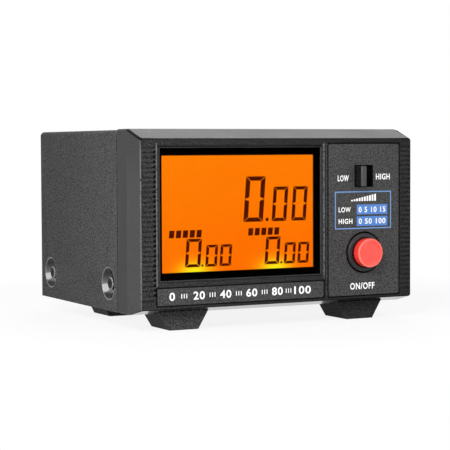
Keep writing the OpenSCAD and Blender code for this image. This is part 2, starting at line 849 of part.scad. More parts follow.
module control_plate() color(plate_grey) placed() difference() {
  deep(0, plate_t) plate_outline(plate_x0, plate_z0, plate_x1, plate_z1, 0);
  translate([plate_x, 0, slot_z])
    block([-slot_size / 2, -cut, -slot_size / 2], [slot_size / 2, plate_t + cut, slot_size / 2]);
  translate([plate_x, 0, button_z]) {
    bar(sleeve_r + fit_gap, -cut, plate_t + cut);
    difference() {
      bar(collar_r + collar_groove, -cut, plate_t / 2);
      bar(collar_r, -2 * cut, plate_t);
    }
  }
}

// Range switch: knob and carriage, drawn at the left end of the travel
module range_knob() color(black_plastic) placed() translate([knob_x, 0, slot_z]) {
  half = knob_w / 2;
  root = carriage_d0 + cut;
  translate([0, 0, -knob_h / 2]) linear_extrude(knob_h) polygon([
    [-half, root], [-half, knob_bevel - knob_out], [knob_bevel - half, -knob_out],
    [half - knob_bevel, -knob_out], [half, knob_bevel - knob_out], [half, root]
  ]);
  block([-carriage_w / 2, carriage_d0, -carriage_h / 2], [carriage_w / 2, carriage_d1, carriage_h / 2]);
}

module range_switch_frame() color(steel) placed() translate([plate_x, 0, slot_z]) {
  half_w = range_in_w / 2;
  half_h = range_in_h / 2;
  difference() {
    block([-half_w - frame_t, range_d0, -half_h - frame_t], [half_w + frame_t, range_d1, half_h + frame_t]);
    block([-half_w, range_d0 + frame_t, -half_h], [half_w, range_d1 + cut, half_h]);
    block([-slot_size / 2, range_d0 - cut, -slot_size / 2], [slot_size / 2, range_d1, slot_size / 2]);
  }
  for (side = [-1, 1])
    translate([side * (half_w + frame_t / 2), range_d1, 0])
      block([-frame_t / 2, -cut, -range_leg_w / 2], [frame_t / 2, board_d - range_d1, range_leg_w / 2]);
}

module range_switch_body() color([0.45, 0.28, 0.15]) placed() translate([plate_x, 0, slot_z]) block(
  [-range_in_w / 2 + fit_gap, range_base_d, -range_in_h / 2 + fit_gap],
  [range_in_w / 2 - fit_gap, range_d1, range_in_h / 2 - fit_gap]
);

module button_collar() color(black_plastic) placed() translate([plate_x, 0, button_z]) turned([
  [sleeve_in_r, -collar_out], [collar_r - collar_bevel, -collar_out], [collar_r, collar_bevel - collar_out],
  [collar_r, 0], [sleeve_r, 0], [sleeve_r, front_wall], [sleeve_in_r, front_wall]
]);

module power_button() color(button_red) placed() translate([plate_x, 0, button_z]) turned([
  [0, -cap_out], [cap_r - cap_bevel, -cap_out], [cap_r, -cap_out + cap_bevel], [cap_r, cap_rear],
  [plunger_r + fit_gap, cap_rear], [plunger_r + fit_gap, plunger_front], [0, plunger_front]
]);

module power_plunger() color(ptfe_white) placed() translate([plate_x, 0, button_z])
  bar(plunger_r, plunger_front, plunger_rear);

module power_spring() color(steel) placed() translate([plate_x, 0, button_z]) {
  steps = 16 * spring_turns;
  start = cap_rear + spring_wire_r + fit_gap;
  rise = power_d0 - cap_rear - 2 * (spring_wire_r + fit_gap);
  path = [for (i = [0 : steps]) [
    spring_r * cos(22.5 * i), start + rise * i / steps, spring_r * sin(22.5 * i)
  ]];
  tube(path, spring_wire_r, 6, [0, 1, 0]);
}

module power_switch_body() color(black_plastic) placed() translate([plate_x, 0, button_z]) difference() {
  block([-power_size / 2, power_d0, -power_size / 2], [power_size / 2, board_d, power_size / 2]);
  bar(plunger_r + running_gap, power_d0 - cut, plunger_stop);
}

// Places its children at each switch pin
module at_range_pins()
  for (x = [-range_pin_pitch, 0, range_pin_pitch])
    for (z = [-range_pin_z, range_pin_z])
      translate([plate_x + x, 0, slot_z + z]) children();
module at_power_pins()
  for (x = [-power_pin, power_pin])
    for (z = [-power_pin, 0, power_pin])
      translate([plate_x + x, 0, button_z + z]) children();

module switch_pins() color(brass) placed() {
  at_range_pins() bar(pin_r, range_d1, board_rear + pin_out);
  at_power_pins() bar(pin_r, board_d, board_rear + pin_out);
}

// Places its children at each screw of the main board
module at_board_screws() {
  for (x = [-boss_x, boss_x])
    for (z = boss_zs)
      translate([x, 0, z]) children();
  for (x = leg_xs)
    for (z = leg_zs)
      translate([x, 0, z]) children();
}

module main_board() color(board_green) placed() difference() {
  block([-board_half, board_d, board_z0], [board_half, board_rear, board_z1]);
  at_board_screws() bar(board_screw_r + screw_gap, board_d - cut, board_rear + cut);
  at_range_pins() bar(pin_r + fit_gap, board_d - cut, board_rear + cut);
  at_power_pins() bar(pin_r + fit_gap, board_d - cut, board_rear + cut);
}

module board_screws() color(steel) placed()
  at_board_screws() translate([0, board_rear, 0])
    rotate([0, 0, 180])
      screw(board_screw_r, board_t + board_grip, board_head_r, board_head_h);

module board_chips() color(screw_black) placed() {
  translate([chip_x - chip_size / 2, board_rear, socket_mid - chip_size / 2])
    cube([chip_size, chip_t, chip_size]);
  translate([regulator_x - regulator_w / 2, board_rear, board_z0 + regulator_up])
    cube([regulator_w, regulator_t, regulator_h]);
}

module board_capacitors() color([0.12, 0.14, 0.3]) placed()
  for (side = [-1, 1])
    translate([capacitor_x + side * capacitor_pitch / 2, 0, board_z1 - capacitor_drop])
      bar(capacitor_r, board_rear, board_rear + capacitor_h);

// Places of the cable ends on the board: the two sensors, then the inlet
cable_heads = [[-socket_x, socket_mid], [socket_x, socket_mid], [0, inlet_z + inlet_header_up]];

module cable_headers() color(ptfe_white) placed()
  for (p = cable_heads)
    translate([p.x - header_w / 2, board_rear, p.y - header_t / 2]) cube([header_w, header_h, header_t]);

module inner_cables() color([0.75, 0.15, 0.12]) placed() {
  steps = 10;
  head = board_rear + header_h;
  for (i = [0, 1]) {
    x = band_xs[i];
    inner_x = sensor_board_x(i);
    tube(
      cable_path([x, head, socket_mid], [inner_x, sensor_front + lid_t + lid_rim, socket_mid], steps),
      cable_r, 8, [1, 0, 0]
    );
  }
  tube(
    cable_path([0, head, cable_heads[2].y], [0, inlet_start, inlet_z], steps),
    cable_r, 8, [1, 0, 0]
  );
}

// One foot, a block that flares up to the case and follows the chin where it is under it
module foot(x, y) color(rubber_black) placed() difference() {
  top = chin_rise + cut;
  chin_z = max(0, chin_rise * (1 - y / slope_d));
  half = foot_w / 2;
  wide = half + foot_slope * (foot_h + top);
  intersection() {
    translate([x, 0, 0]) deep(y, y + foot_len)
      polygon([[-half, -foot_h], [half, -foot_h], [wide, top], [-wide, top]]);
    across(2 * case_w) polygon([
      [y, -foot_h], [y + foot_len, -foot_h], [y + foot_len, 0], [max(y, slope_d) + cut, 0],
      [max(y, slope_d), 0], [y, chin_z]
    ]);
  }
  translate([x, y + foot_len / 2, 0]) {
    translate([0, 0, -foot_h - cut]) cylinder(r = foot_head_r + 2 * fit_gap, h = foot_h + cut + foot_head_z);
    translate([0, 0, -foot_h]) cylinder(r = foot_screw_r + screw_gap, h = foot_h + cut);
  }
}

module foot_screws() color(screw_black) placed()
  for (x = [-foot_x, foot_x])
    for (y = foot_ys)
      translate([x, y + foot_len / 2, foot_head_z]) rotate([90, 0, 0])
        screw(foot_screw_r, foot_screw_top - foot_head_z, foot_head_r, foot_head_h);

module cover_screws() color(screw_black) placed()
  at_dishes() translate([0, 0, dish_depth]) rotate([90, 0, 0])
    screw(cover_screw_r, cover_screw_len, cover_head_r, cover_head_h);

// Places its children at the four holes of a socket's flange
module at_flange_holes()
  for (x = [-flange_pitch / 2, flange_pitch / 2])
    for (z = [-flange_pitch / 2, flange_pitch / 2])
      translate([x, 0, z]) children();

module socket_shell(i) color(nickel) placed() translate([socket_places[i].x, 0, socket_places[i].y]) {
  half = flange_size / 2;
  difference() {
    union() {
      deep(rear_out, rear_out + flange_t) round_rect(-half, -half, half, half, flange_corner_r);
      turned([
        [0, rear_out], [thread_r, rear_out], [thread_r, socket_end - rim_bevel],
        [thread_r - rim_bevel, socket_end], [0, socket_end]
      ]);
    }
    bar(socket_bore_r, rear_out - cut, socket_end + cut);
    for (turn = [0 : 90 : 270])
      rotate([0, turn, 0]) block(
        [-notch_w / 2, socket_end - notch_d, socket_bore_r - cut],
        [notch_w / 2, socket_end + cut, thread_r + cut]
      );
    at_flange_holes() bar(flange_screw_r + screw_gap, rear_out - cut, rear_out + flange_t + cut);
  }
}

module socket_insulator(i) color(ptfe_white) placed()
  translate([socket_places[i].x, 0, socket_places[i].y]) turned([
    [contact_r + thread_gap, insulator_start], [insulator_step_r, insulator_start],
    [insulator_step_r, rear_out], [socket_bore_r - thread_gap, rear_out],
    [socket_bore_r - thread_gap, insulator_end], [contact_r + thread_gap, insulator_end]
  ]);

module socket_contact(i) color(brass) placed()
  translate([socket_places[i].x, 0, socket_places[i].y]) difference() {
    turned([
      [0, contact_start], [cup_r, contact_start], [cup_r, insulator_start], [contact_r, insulator_start],
      [contact_r, contact_end], [contact_bore_r, contact_end],
      [contact_bore_r, contact_end - contact_bore_len], [0, contact_end - contact_bore_len]
    ]);
    translate([0, line_y, -cup_r - cut]) cylinder(r = line_r + thread_gap, h = 2 * (cup_r + cut));
  }

module socket_screws() color(steel) placed()
  for (p = socket_places)
    translate([p.x, rear_out + flange_t, p.y]) at_flange_holes()
      rotate([0, 0, 180])
        screw(flange_screw_r, flange_t + sheet_t + sensor_t + screw_tail, flange_head_r, flange_head_h);

// Depthwise plane of a sensor's board, on the side of the middle plane
function sensor_board_x(i) = band_xs[i] - sign(band_xs[i]) * sensor_board_in;

module sensor_box(i) color(steel) placed() translate([band_xs[i], 0, 0]) difference() {
  half = sensor_w / 2;
  block([-half, sensor_front, sensor_z0], [half, wall_in, sensor_z1]);
  block(
    [-half + sensor_t, sensor_front - cut, sensor_z0 + sensor_t],
    [half - sensor_t, wall_in - sensor_t, sensor_z1 - sensor_t]
  );
  for (z = [socket_low, socket_high])
    translate([0, 0, z]) {
      bar(socket_hole_r, wall_in - sensor_t - cut, wall_in + cut);
      at_flange_holes() bar(flange_screw_r + thread_gap, wall_in - sensor_t - cut, wall_in + cut);
    }
}

module sensor_lid(i) color(steel) placed() difference() {
  half = sensor_w / 2;
  rim = half - sensor_t - fit_gap;
  translate([band_xs[i], 0, 0]) {
    block([-half, sensor_front - lid_t, sensor_z0], [half, sensor_front, sensor_z1]);
    difference() {
      block(
        [-rim, sensor_front - lid_t / 2, sensor_z0 + sensor_t + fit_gap],
        [rim, sensor_front + lid_rim, sensor_z1 - sensor_t - fit_gap]
      );
      block(
        [-rim + lid_t, sensor_front, sensor_z0 + 2 * sensor_t],
        [rim - lid_t, sensor_front + lid_rim + cut, sensor_z1 - 2 * sensor_t]
      );
    }
  }
  translate([sensor_board_x(i), 0, socket_mid])
    bar(gland_r, sensor_front - lid_t - cut, sensor_front + cut);
}

module sensor_line(i) color(brass) placed()
  translate([band_xs[i], line_y, socket_low - cup_r - line_over])
    cylinder(r = line_r, h = socket_pitch + 2 * (cup_r + line_over));

module sensor_board(i) color(board_green) placed() translate([sensor_board_x(i), 0, 0]) block(
  [-board_t / 2, sensor_front + lid_t + lid_rim, sensor_z0 + sensor_t + fit_gap],
  [board_t / 2, insulator_start - sensor_board_gap, sensor_z1 - sensor_t - fit_gap]
);

module inlet_body() color(black_plastic) placed() translate([0, 0, inlet_z]) difference() {
  turned([
    [0, inlet_start], [inlet_r, inlet_start], [inlet_r, rear_out], [inlet_flange_r, rear_out],
    [inlet_flange_r, rear_out + inlet_flange_t - inlet_bevel],
    [inlet_flange_r - inlet_bevel, rear_out + inlet_flange_t],
    [0, rear_out + inlet_flange_t]
  ]);
  bar(inlet_bore_r, inlet_floor, rear_out + inlet_flange_t + cut);
}

module inlet_pin() color(nickel) placed() translate([0, 0, inlet_z]) turned([
  [0, inlet_floor], [inlet_pin_r, inlet_floor], [inlet_pin_r, inlet_pin_end - inlet_bevel],
  [inlet_pin_r - inlet_bevel, inlet_pin_end], [0, inlet_pin_end]
]);

module inlet_nut() color(nickel) placed() translate([0, wall_in, inlet_z]) difference() {
  rotate([90, 0, 0]) cylinder(r = inlet_r + inlet_nut_wall, h = inlet_nut_t, $fn = 6);
  bar(inlet_r + thread_gap, -inlet_nut_t - cut, cut);
}

front_bezel();
top_cover();
chassis();
display_window();
display_mask();
lcd_glass();
light_guide();
display_tray();
led_strip();
backlight_leds();
display_ribbon();
name_strip();
control_plate();
range_knob();
range_switch_frame();
range_switch_body();
power_button();
power_plunger();
power_spring();
power_switch_body();
button_collar();
switch_pins();
main_board();
board_chips();
board_capacitors();
cable_headers();
board_screws();
foot_screws();
cover_screws();
socket_screws();
inlet_body();
inlet_pin();
inlet_nut();
inner_cables();
for (i = [0 : 3]) {
  left = i % 2 == 0 ? -foot_x : foot_x;
  foot(left, foot_ys[floor(i / 2)]);
  socket_shell(i);
  socket_insulator(i);
  socket_contact(i);
}
for (i = [0 : 1]) {
  sensor_box(i);
  sensor_lid(i);
  sensor_line(i);
  sensor_board(i);
}
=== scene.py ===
# %% [markdown]
# # A bench meter for radio power and standing waves
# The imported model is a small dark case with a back-lit display, a slide switch and
# a red push button in front, and four coaxial sockets behind. Its CAD pieces are
# the frame: they give every place and size. This lesson dresses them. It rounds
# the edges that catch light, prints the panel, lights the display, cuts the screw
# recesses and threads, and gives each surface the finish of the real one.

# %% Load the frame
import math

import bmesh
import bpy
from mathutils import Matrix, Vector


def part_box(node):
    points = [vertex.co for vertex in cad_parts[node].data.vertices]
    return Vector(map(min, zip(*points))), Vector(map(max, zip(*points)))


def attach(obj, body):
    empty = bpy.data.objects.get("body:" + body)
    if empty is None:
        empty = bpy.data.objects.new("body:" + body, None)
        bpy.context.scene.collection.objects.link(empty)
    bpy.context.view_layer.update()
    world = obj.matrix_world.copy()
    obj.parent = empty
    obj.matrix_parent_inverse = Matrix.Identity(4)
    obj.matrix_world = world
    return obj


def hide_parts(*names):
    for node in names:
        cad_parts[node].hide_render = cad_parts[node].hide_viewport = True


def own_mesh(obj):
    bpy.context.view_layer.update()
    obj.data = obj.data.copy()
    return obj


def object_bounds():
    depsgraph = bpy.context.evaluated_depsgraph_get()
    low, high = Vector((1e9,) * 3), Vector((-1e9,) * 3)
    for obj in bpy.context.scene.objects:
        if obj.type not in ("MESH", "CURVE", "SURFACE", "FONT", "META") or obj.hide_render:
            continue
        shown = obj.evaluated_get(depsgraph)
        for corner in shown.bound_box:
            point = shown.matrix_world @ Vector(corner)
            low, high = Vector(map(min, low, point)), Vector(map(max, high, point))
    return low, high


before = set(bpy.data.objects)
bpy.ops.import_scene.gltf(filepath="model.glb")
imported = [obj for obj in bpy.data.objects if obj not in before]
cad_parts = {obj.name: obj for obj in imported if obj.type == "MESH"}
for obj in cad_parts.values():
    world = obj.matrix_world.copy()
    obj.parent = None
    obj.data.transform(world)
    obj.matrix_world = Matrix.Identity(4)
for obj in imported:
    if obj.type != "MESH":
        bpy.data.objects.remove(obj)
cad_box = [list(corner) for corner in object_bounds()]
MM = 0.001


def box_mm(node):
    """The lower and the upper corner of a CAD node, in millimetres."""
    low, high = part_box(node)
    return low / MM, high / MM


size_mm = [round((high - low) / MM, 1) for low, high in zip(*cad_box)]
print("frame:", len(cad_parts), "nodes,", size_mm, "mm")

# %% [markdown]
# ## Camera
# The photograph was taken from the front left with a long lens, just below the height
# of the lid. The angles below were found by fitting the case's edges to the picture.
# A camera could also be turned by three Euler angles, but building its axes step by
# step makes the small roll easy to see.

# %% Camera
YAW, PITCH, ROLL = (math.radians(degrees) for degrees in (27.4937, 2.8659, -0.252))
CAMERA_AT = (-0.29222, -0.570226, 0.068643)
LENS_MM, SENSOR_MM = 122.703, 36
flat = math.cos(PITCH)
ahead = Vector((math.sin(YAW) * flat, math.cos(YAW) * flat, -math.sin(PITCH)))
level = Vector((math.cos(YAW), -math.sin(YAW), 0))
below = ahead.cross(level)
to_right = level * math.cos(ROLL) - below * math.sin(ROLL)
to_top = -(level * math.sin(ROLL) + below * math.cos(ROLL))
camera_data = bpy.data.cameras.new("camera")
camera_data.lens = LENS_MM
camera_data.sensor_width = SENSOR_MM
camera_data.clip_start = 0.01
camera = bpy.data.objects.new("camera", camera_data)
turned_to = Matrix((to_right, to_top, -ahead)).transposed().to_4x4()
camera.matrix_world = Matrix.Translation(CAMERA_AT) @ turned_to
bpy.context.scene.collection.objects.link(camera)
bpy.context.scene.camera = camera
bpy.context.scene.view_settings.view_transform = "Standard"
print("camera looks along", [round(c, 3) for c in ahead])

# %% [markdown]
# ## Writing finishes as sums
# A finish is a node tree. Drawing one node at a time hides the idea, so `Wire` wraps
# a node's output and lets Python's own operators add the Math nodes. A mask is then a
# short sum of ramps and bands, with its places in millimetres.

# %% Wires
class Wire:
    """One output in a node tree, which can stand in a Python sum."""

    def __init__(self, wiring, socket):
        self.wiring = wiring
        self.socket = socket

    def math(self, operation, other=0.0, swapped=False):
        """A Math node on this wire and another value, or on the two swapped."""
        first, second = (other, self) if swapped else (self, other)
        return self.wiring.add("ShaderNodeMath", {"operation": operation}, {0: first, 1: second})

    def __add__(self, other):
        return self.math("ADD", other)

    def __sub__(self, other):
        return self.math("SUBTRACT", other)

    def __rsub__(self, other):
        return self.math("SUBTRACT", other, swapped=True)

    def __mul__(self, other):
        return self.math("MULTIPLY", other)

    def __truediv__(self, other):
        return self.math("DIVIDE", other)

    def __rtruediv__(self, other):
        return self.math("DIVIDE", other, swapped=True)

    def __mod__(self, other):
        return self.math("FLOORED_MODULO", other)

    def __rmod__(self, other):
        return self.math("FLOORED_MODULO", other, swapped=True)

    def __pow__(self, other):
        return self.math("POWER", other)

    def __rpow__(self, other):
        return self.math("POWER", other, swapped=True)

    def __abs__(self):
        return self.math("ABSOLUTE")

    __radd__ = __add__
    __rmul__ = __mul__

    def ramp(self, low, high):
        """0 below low, 1 above high, and smooth between them."""
        return self.wiring.add("ShaderNodeMapRange", {"interpolation_type": "SMOOTHSTEP"},
                               {"Value": self, "From Min": low, "From Max": high})

    def rise(self, low, high):
        """A ramp between two places in millimetres."""
        return self.ramp(low * MM, high * MM)

    def band(self, low, high, soft=0.1):
        """1 between two places in millimetres, with soft ends."""
        return self.rise(low - soft, low) * (1 - self.rise(high, high + soft))


print("wires add, take away, multiply, divide, repeat and bend values")

# %% [markdown]
# ## Node trees from one method
# The materials and the light of the studio are both node trees. `Wiring.add` makes any
# node from its type, its settings and its sockets, so the whole lesson makes nodes in
# one way. `Finish` is such a tree with one main shader, and with the patterns that
# this meter needs: cloudy noise, rounded cells and a bump.

# %% Wiring
class Wiring:
    """A node tree whose nodes all come from one method."""

    def __init__(self, tree):
        self.tree = tree

    def plug(self, place, value):
        """Links a wire to a socket, or sets the socket to a plain value."""
        if isinstance(value, Wire):
            self.tree.links.new(value.socket, place)
        else:
            place.default_value = value

    def add(self, kind, settings=None, sockets=None, output=0):
        """Makes a node of a kind and gives one of its outputs."""
        node = self.tree.nodes.new(kind)
        for name, value in (settings or {}).items():
            setattr(node, name, value)
        for name, value in (sockets or {}).items():
            self.plug(node.inputs[name], value)
        return Wire(self, node.outputs[output])


print("nodes come from", Wiring.add.__qualname__)

# %% Finishes
COLOUR_A, COLOUR_B, MIXED_COLOUR = 6, 7, 2


class Finish(Wiring):
    """A material with one main shader."""

    def __init__(self, name, colour, roughness, **constants):
        self.material = bpy.data.materials.new(name)
        self.material.use_nodes = True
        super().__init__(self.material.node_tree)
        self.shader = self.tree.nodes["Principled BSDF"]
        self.set("Base Color", (*colour, 1))
        self.set("Roughness", roughness)
        for socket, value in constants.items():
            self.set(socket.replace("_", " "), value)

    def set(self, socket, value):
        """Sets or links a socket of the main shader."""
        self.plug(self.shader.inputs[socket], value)

    def cover(self, factor, other):
        """Lays another shader over the main one, by a factor."""
        both = self.add("ShaderNodeMixShader", sockets={
            0: factor, 1: Wire(self, self.shader.outputs[0]), 2: other})
        self.plug(self.tree.nodes["Material Output"].inputs["Surface"], both)

    def place(self):
        """Where the shaded point is on the object, in metres."""
        return self.add("ShaderNodeTexCoord", output="Object")

    def axis(self, name):
        """One coordinate of that place."""
        return self.add("ShaderNodeSeparateXYZ", sockets={0: self.place()}, output=name)

    def noise(self, size, detail=2.0, stretch=(1, 1, 1)):
        """Cloudy noise whose grains are about this many millimetres across."""
        spot = self.add("ShaderNodeMapping", sockets={0: self.place(), "Scale": stretch})
        return self.add("ShaderNodeTexNoise", sockets={
            "Vector": spot, "Scale": 1 / (size * MM), "Detail": detail, "Roughness": 0.6})

    def cells(self, size):
        """Rounded cells about this many millimetres across: 0 in each middle."""
        return self.add("ShaderNodeTexVoronoi", {"feature": "SMOOTH_F1"}, {
            "Vector": self.place(), "Scale": 1 / (size * MM)})

    def mix(self, factor, a, b):
        """Colour a where the factor is 0 and b where it is 1: each a wire or three numbers."""
        a, b = (c if isinstance(c, Wire) else (*c, 1) for c in (a, b))
        return self.add("ShaderNodeMix", {"data_type": "RGBA"},
                        {0: factor, COLOUR_A: a, COLOUR_B: b}, MIXED_COLOUR)

    def bump(self, height, depth):
        """Tilts the surface by a height pattern that is this many millimetres deep."""
        self.set("Normal", self.add("ShaderNodeBump", sockets={
            "Strength": 1.0, "Distance": depth * MM, "Height": height}))


print("a finish starts as", [node.name for node in Finish("trial", (1, 1, 1), 0.5).tree.nodes])
bpy.data.materials.remove(bpy.data.materials["trial"])

# %% [markdown]
# ## The grain of the dark finishes
# Three greys cover most of the case: textured paint, moulded plastic and finer plates.
# On the real meter each has a grain that the hand can feel. A picture of the grain
# could be wrapped on, but it would blur up close, so the grain is rounded cells with a
# fine tooth on them. It tilts the surface, and changes colour and gloss a little,
# because the worn tops of a grain shine more. A tone function may then say for each
# place how much painted light brightens it, how rough and how glossy it is, and how much
# painted shade darkens it.

# %% Grained finish
BRIGHTEST = 10
# Near-black matt colour that a tone lays over a surface as painted shade.
PAINTED_SHADE = (0.004, 0.004, 0.004, 1)


def grained(name, colour, roughness, grain, depth, contrast, level, tone=None):
    """Dark grey with a grain of a given size and depth in millimetres.

    A tone gives a brightness of painted light, a share of grain, a gloss and a shadow of painted shade for
    each place."""
    finish = Finish(name, colour, roughness, Specular_IOR_Level=level, Coat_Roughness=0.14)
    tops = 1 - finish.cells(grain).ramp(0.05, 0.7)
    tooth = finish.noise(grain * 0.6, 3)
    cloud = finish.noise(18, 3)
    bright, rough, gloss, shadow = tone(finish) if tone else (1.0, 1.0, 0.0, None)
    height = (tops * 0.5 + tooth * 0.8 - 0.62) * rough
    light = (height * contrast + (cloud - 0.5) * 0.25 + 1) * bright
    finish.set("Base Color", finish.mix(
        light / BRIGHTEST, (0, 0, 0), [c * BRIGHTEST for c in colour]))
    finish.set("Roughness", roughness + (cloud - 0.5) * 0.1 - height * 0.2)
    finish.set("Coat Weight", gloss)
    finish.bump(height, depth)
    # Where the tone gives a shadow, painted shade is laid over the surface.
    if shadow:
        finish.cover(shadow, finish.add("ShaderNodeBsdfDiffuse", sockets={"Color": PAINTED_SHADE}))
    return finish


collar_black = grained("collar_black", (0.024, 0.024, 0.0243), roughness=0.4, grain=0.45,
                       depth=0.03, contrast=1.5, level=0.25)
print("grained collar:", len(collar_black.tree.nodes), "nodes")

# %% [markdown]
# ## Bezel plastic
# The bezel is moulded plastic with a coarse spark-eroded grain on its face and nearly
# smooth slopes. Light and shade are painted into its colour: it is painted brighter to
# the left, with painted highlights on its left corner and the lip of its window, painted
# light and shade on its sides, and painted shade in the rib grooves, the funnel of the
# window and the gaps round the two plates.
# These marks could be painted on by hand. Here each is a band on the piece's own
# coordinates, so that it follows the frame's sizes and has no resolution.

# %% Lines of the bezel
SLOPE_DEPTH, SEAM_DEPTH = 11.7, 20.7
BROW_DROP, CHIN_RISE, TAPER_IN = 3.8, 2.6, 0.35
LIP_GAP, FUNNEL_WIDTH = 0.2, 1.3
RIBS_IN, RIBS_OUT, RIBS_LOW, RIBS_TOP = 54, 59, 12, 69
RIB_PITCH, RIB_START = 1.83, 11.6
PAST = 1.0

bezel_low, bezel_high = box_mm("front_bezel")
pane_low, pane_high = box_mm("display_window")
plate_low, plate_high = box_mm("control_plate")
front = box_mm("name_strip")[0].y
side = bezel_high.x
slope_end, seam = front + SLOPE_DEPTH, front + SEAM_DEPTH
face_top, face_low = bezel_high.z - BROW_DROP, bezel_low.z + CHIN_RISE
lip_left, lip_right = pane_low.x - LIP_GAP, pane_high.x + LIP_GAP
lip_low, lip_top = pane_low.z - LIP_GAP, pane_high.z + LIP_GAP
print("front at y", round(front, 2), "mm, slopes to", round(slope_end, 2), "and cover from", round(seam, 2))


# %% Marks of the plates and the window
def plate_edges(x, z, inset):
    """1 along the edges of both plates: inside them, or outside if the inset is negative."""
    edges = 0.0
    inner, outer_gap = max(0, inset), max(0, -inset)
    for node in ("name_strip", "control_plate"):
        low, high = box_mm(node)
        whole = x.band(low.x - outer_gap, high.x + outer_gap)
        whole = whole * z.band(low.z - outer_gap, high.z + outer_gap)
        core = x.band(low.x + inner, high.x - inner) * z.band(low.z + inner, high.z - inner)
        edges = whole * (1 - core) + edges
    return edges


def window_marks(x, y, z, face):
    """Painted light and shade of the window: painted highlights on its lips and inner edge, and painted
    shade in its funnel.
    """
    tall = z.band(lip_low - 0.3, lip_top + 0.3)
    wide = x.band(lip_left, lip_right)
    left_lip = x.band(lip_left - 0.2, lip_left + 0.25)
    right_lip = x.band(lip_right, lip_right + 0.5)
    inner = y.band(front + 0.78, front + 1.15) * wide * tall
    sill = z.band(lip_low, lip_low + FUNNEL_WIDTH)
    head = z.band(lip_top - FUNNEL_WIDTH, lip_top)
    funnel = (sill * 0.5 + head * 0.75) * wide * (1 - face) * (1 - inner)
    # Painted highlights on the lips and the inner edge, and painted shade in the funnel.
    return face * (left_lip * 14 + right_lip * 5) * tall + inner * 1.2, funnel


print("window lip from x", round(lip_left, 2), "to", round(lip_right, 2), "mm")


# %% Marks of the cheeks and the slopes
def cheek_marks(x, y, z):
    """Painted light and shade of the ribbed cheeks: painted light on the ribs, painted shade in the
    grooves, and painted shadow dots at the inner ends of the left grooves.
    """
    out = abs(x)
    near_face = y.band(front - 1, front + 1)
    ribs = out.band(RIBS_IN, RIBS_OUT) * z.band(RIBS_LOW, RIBS_TOP) * near_face
    grooves = out.band(RIBS_IN - 0.2, RIBS_OUT + 0.2) * y.band(front + 0.12, front + 0.9)
    step = abs((z - RIB_START * MM) % (RIB_PITCH * MM) - RIB_PITCH / 2 * MM)
    # A column of painted shadow dots where the left grooves end beside the window's lip.
    column = x.band(lip_left - 1.2, lip_left - 0.4) * z.band(RIBS_LOW + 1, RIBS_TOP)
    groove_end_shadow = column * (1 - step.rise(0.4, 0.55))
    return ribs * 0.55, grooves * 0.2 + groove_end_shadow * near_face


def slope_marks(x, y, z):
    """Painted light and shade of the sides: a paler taper painted darker towards the top, a darker rear
    strip, a painted highlight on the rear edge, and dark hips.
    """
    out = abs(x)
    taper = out.band(side - 0.4, side + PAST) * y.band(front + 0.6, slope_end)
    strip = out.band(side - 0.1, side + PAST) * y.band(slope_end, seam - 0.7)
    rear_edge = out.band(side - 0.6, side + PAST) * y.band(seam - 0.7, seam + 0.2)
    brow = z - (y - front * MM) * (BROW_DROP / SLOPE_DEPTH)
    hip = brow.rise(face_top - 0.9, face_top - 0.6) * out.rise(side - 1.1, side - 0.8)
    # Painted light on the taper, fading towards the top, painted shade on the rear strip and a painted
    # highlight on the rear edge.
    taper_light = taper * (0.85 - z.rise(52, 74) * 0.8)
    return taper_light - strip * 0.15 + rear_edge * 0.5, hip * y.band(front, slope_end) * 0.75


print("cheeks have", round((RIBS_TOP - RIBS_LOW) / RIB_PITCH), "ribs")


# %% Bezel finish
def bezel_tone(finish):
    """Painted light and shade, and a glossy chin: the slopes are smoother than the face."""
    x, y, z = finish.axis("X"), finish.axis("Y"), finish.axis("Z")
    face = 1 - y.rise(front + 0.3, front + 0.5)
    window_highlight, window_shade = window_marks(x, y, z, face)
    cheek_light, cheek_dark = cheek_marks(x, y, z)
    slope_light, slope_dark = slope_marks(x, y, z)
    # Painted light: brighter on the left and darker on the right, with painted highlights on the left
    # corner and on the ridge beside the control plate.
    across = 1.35 - x.rise(-side, side) * 0.95
    corner = x.band(-side - PAST, 0.6 - side) * face
    ridge = x.band(plate_low.x - 0.95, plate_low.x - 0.35) * face
    ridge = ridge * z.band(plate_low.z - 0.1, plate_high.z)
    bright = across + corner * 20 + ridge * 1.6 + window_highlight + cheek_light + slope_light
    # Painted shade under the brow, over the chin, along the top of the face and in the gaps round the two
    # plates.
    rim = z.band(face_top - 0.25, bezel_high.z + PAST) + z.band(bezel_low.z - PAST, face_low + 0.25)
    above = z.rise(plate_high.z + 0.1, plate_high.z + 0.4)
    beside = plate_edges(x, z, -0.4) * 0.9 + above * 0.15
    shadow = (rim * 0.5 + beside) * face + window_shade + cheek_dark + slope_dark
    chin = (1 - z.rise(face_low, face_low + 0.1)) * (1 - face)
    chin = chin * (1 - abs(x).rise(side - 1.4, side - 0.8))
    smooth = y.rise(front + 0.5, front + 1)
    return bright, 1 - smooth * 0.75, chin, shadow


bezel_plastic = grained("bezel_plastic", (0.0135, 0.0135, 0.0137), roughness=0.48, grain=0.5,
                        depth=0.09, contrast=4.0, level=0.2, tone=bezel_tone)
print("bezel plastic:", len(bezel_plastic.tree.nodes), "nodes")

# %% [markdown]
# ## Cover paint
# The cover is sheet steel with a leather-like textured paint. Two round dishes are
# pressed into each side for the screws, and pressing has drawn the paint smooth and
# glossy there. Painted shade lines the seam with the bezel and grows towards the rear,
# and the dishes' rims have a painted highlight and their hollows painted shade. The
# dishes are round, so their marks depend only on how far a point is from the screw,
# which one helper measures for the paint and later for the screws.

# %% Cover finish
SCREW_R, DISH_R = 2.6, 6.4
screw_low, screw_high = box_mm("cover_screws")
dish_z = (screw_low.z + screw_high.z) / 2
dish_ys = (screw_low.y + SCREW_R, screw_high.y - SCREW_R)


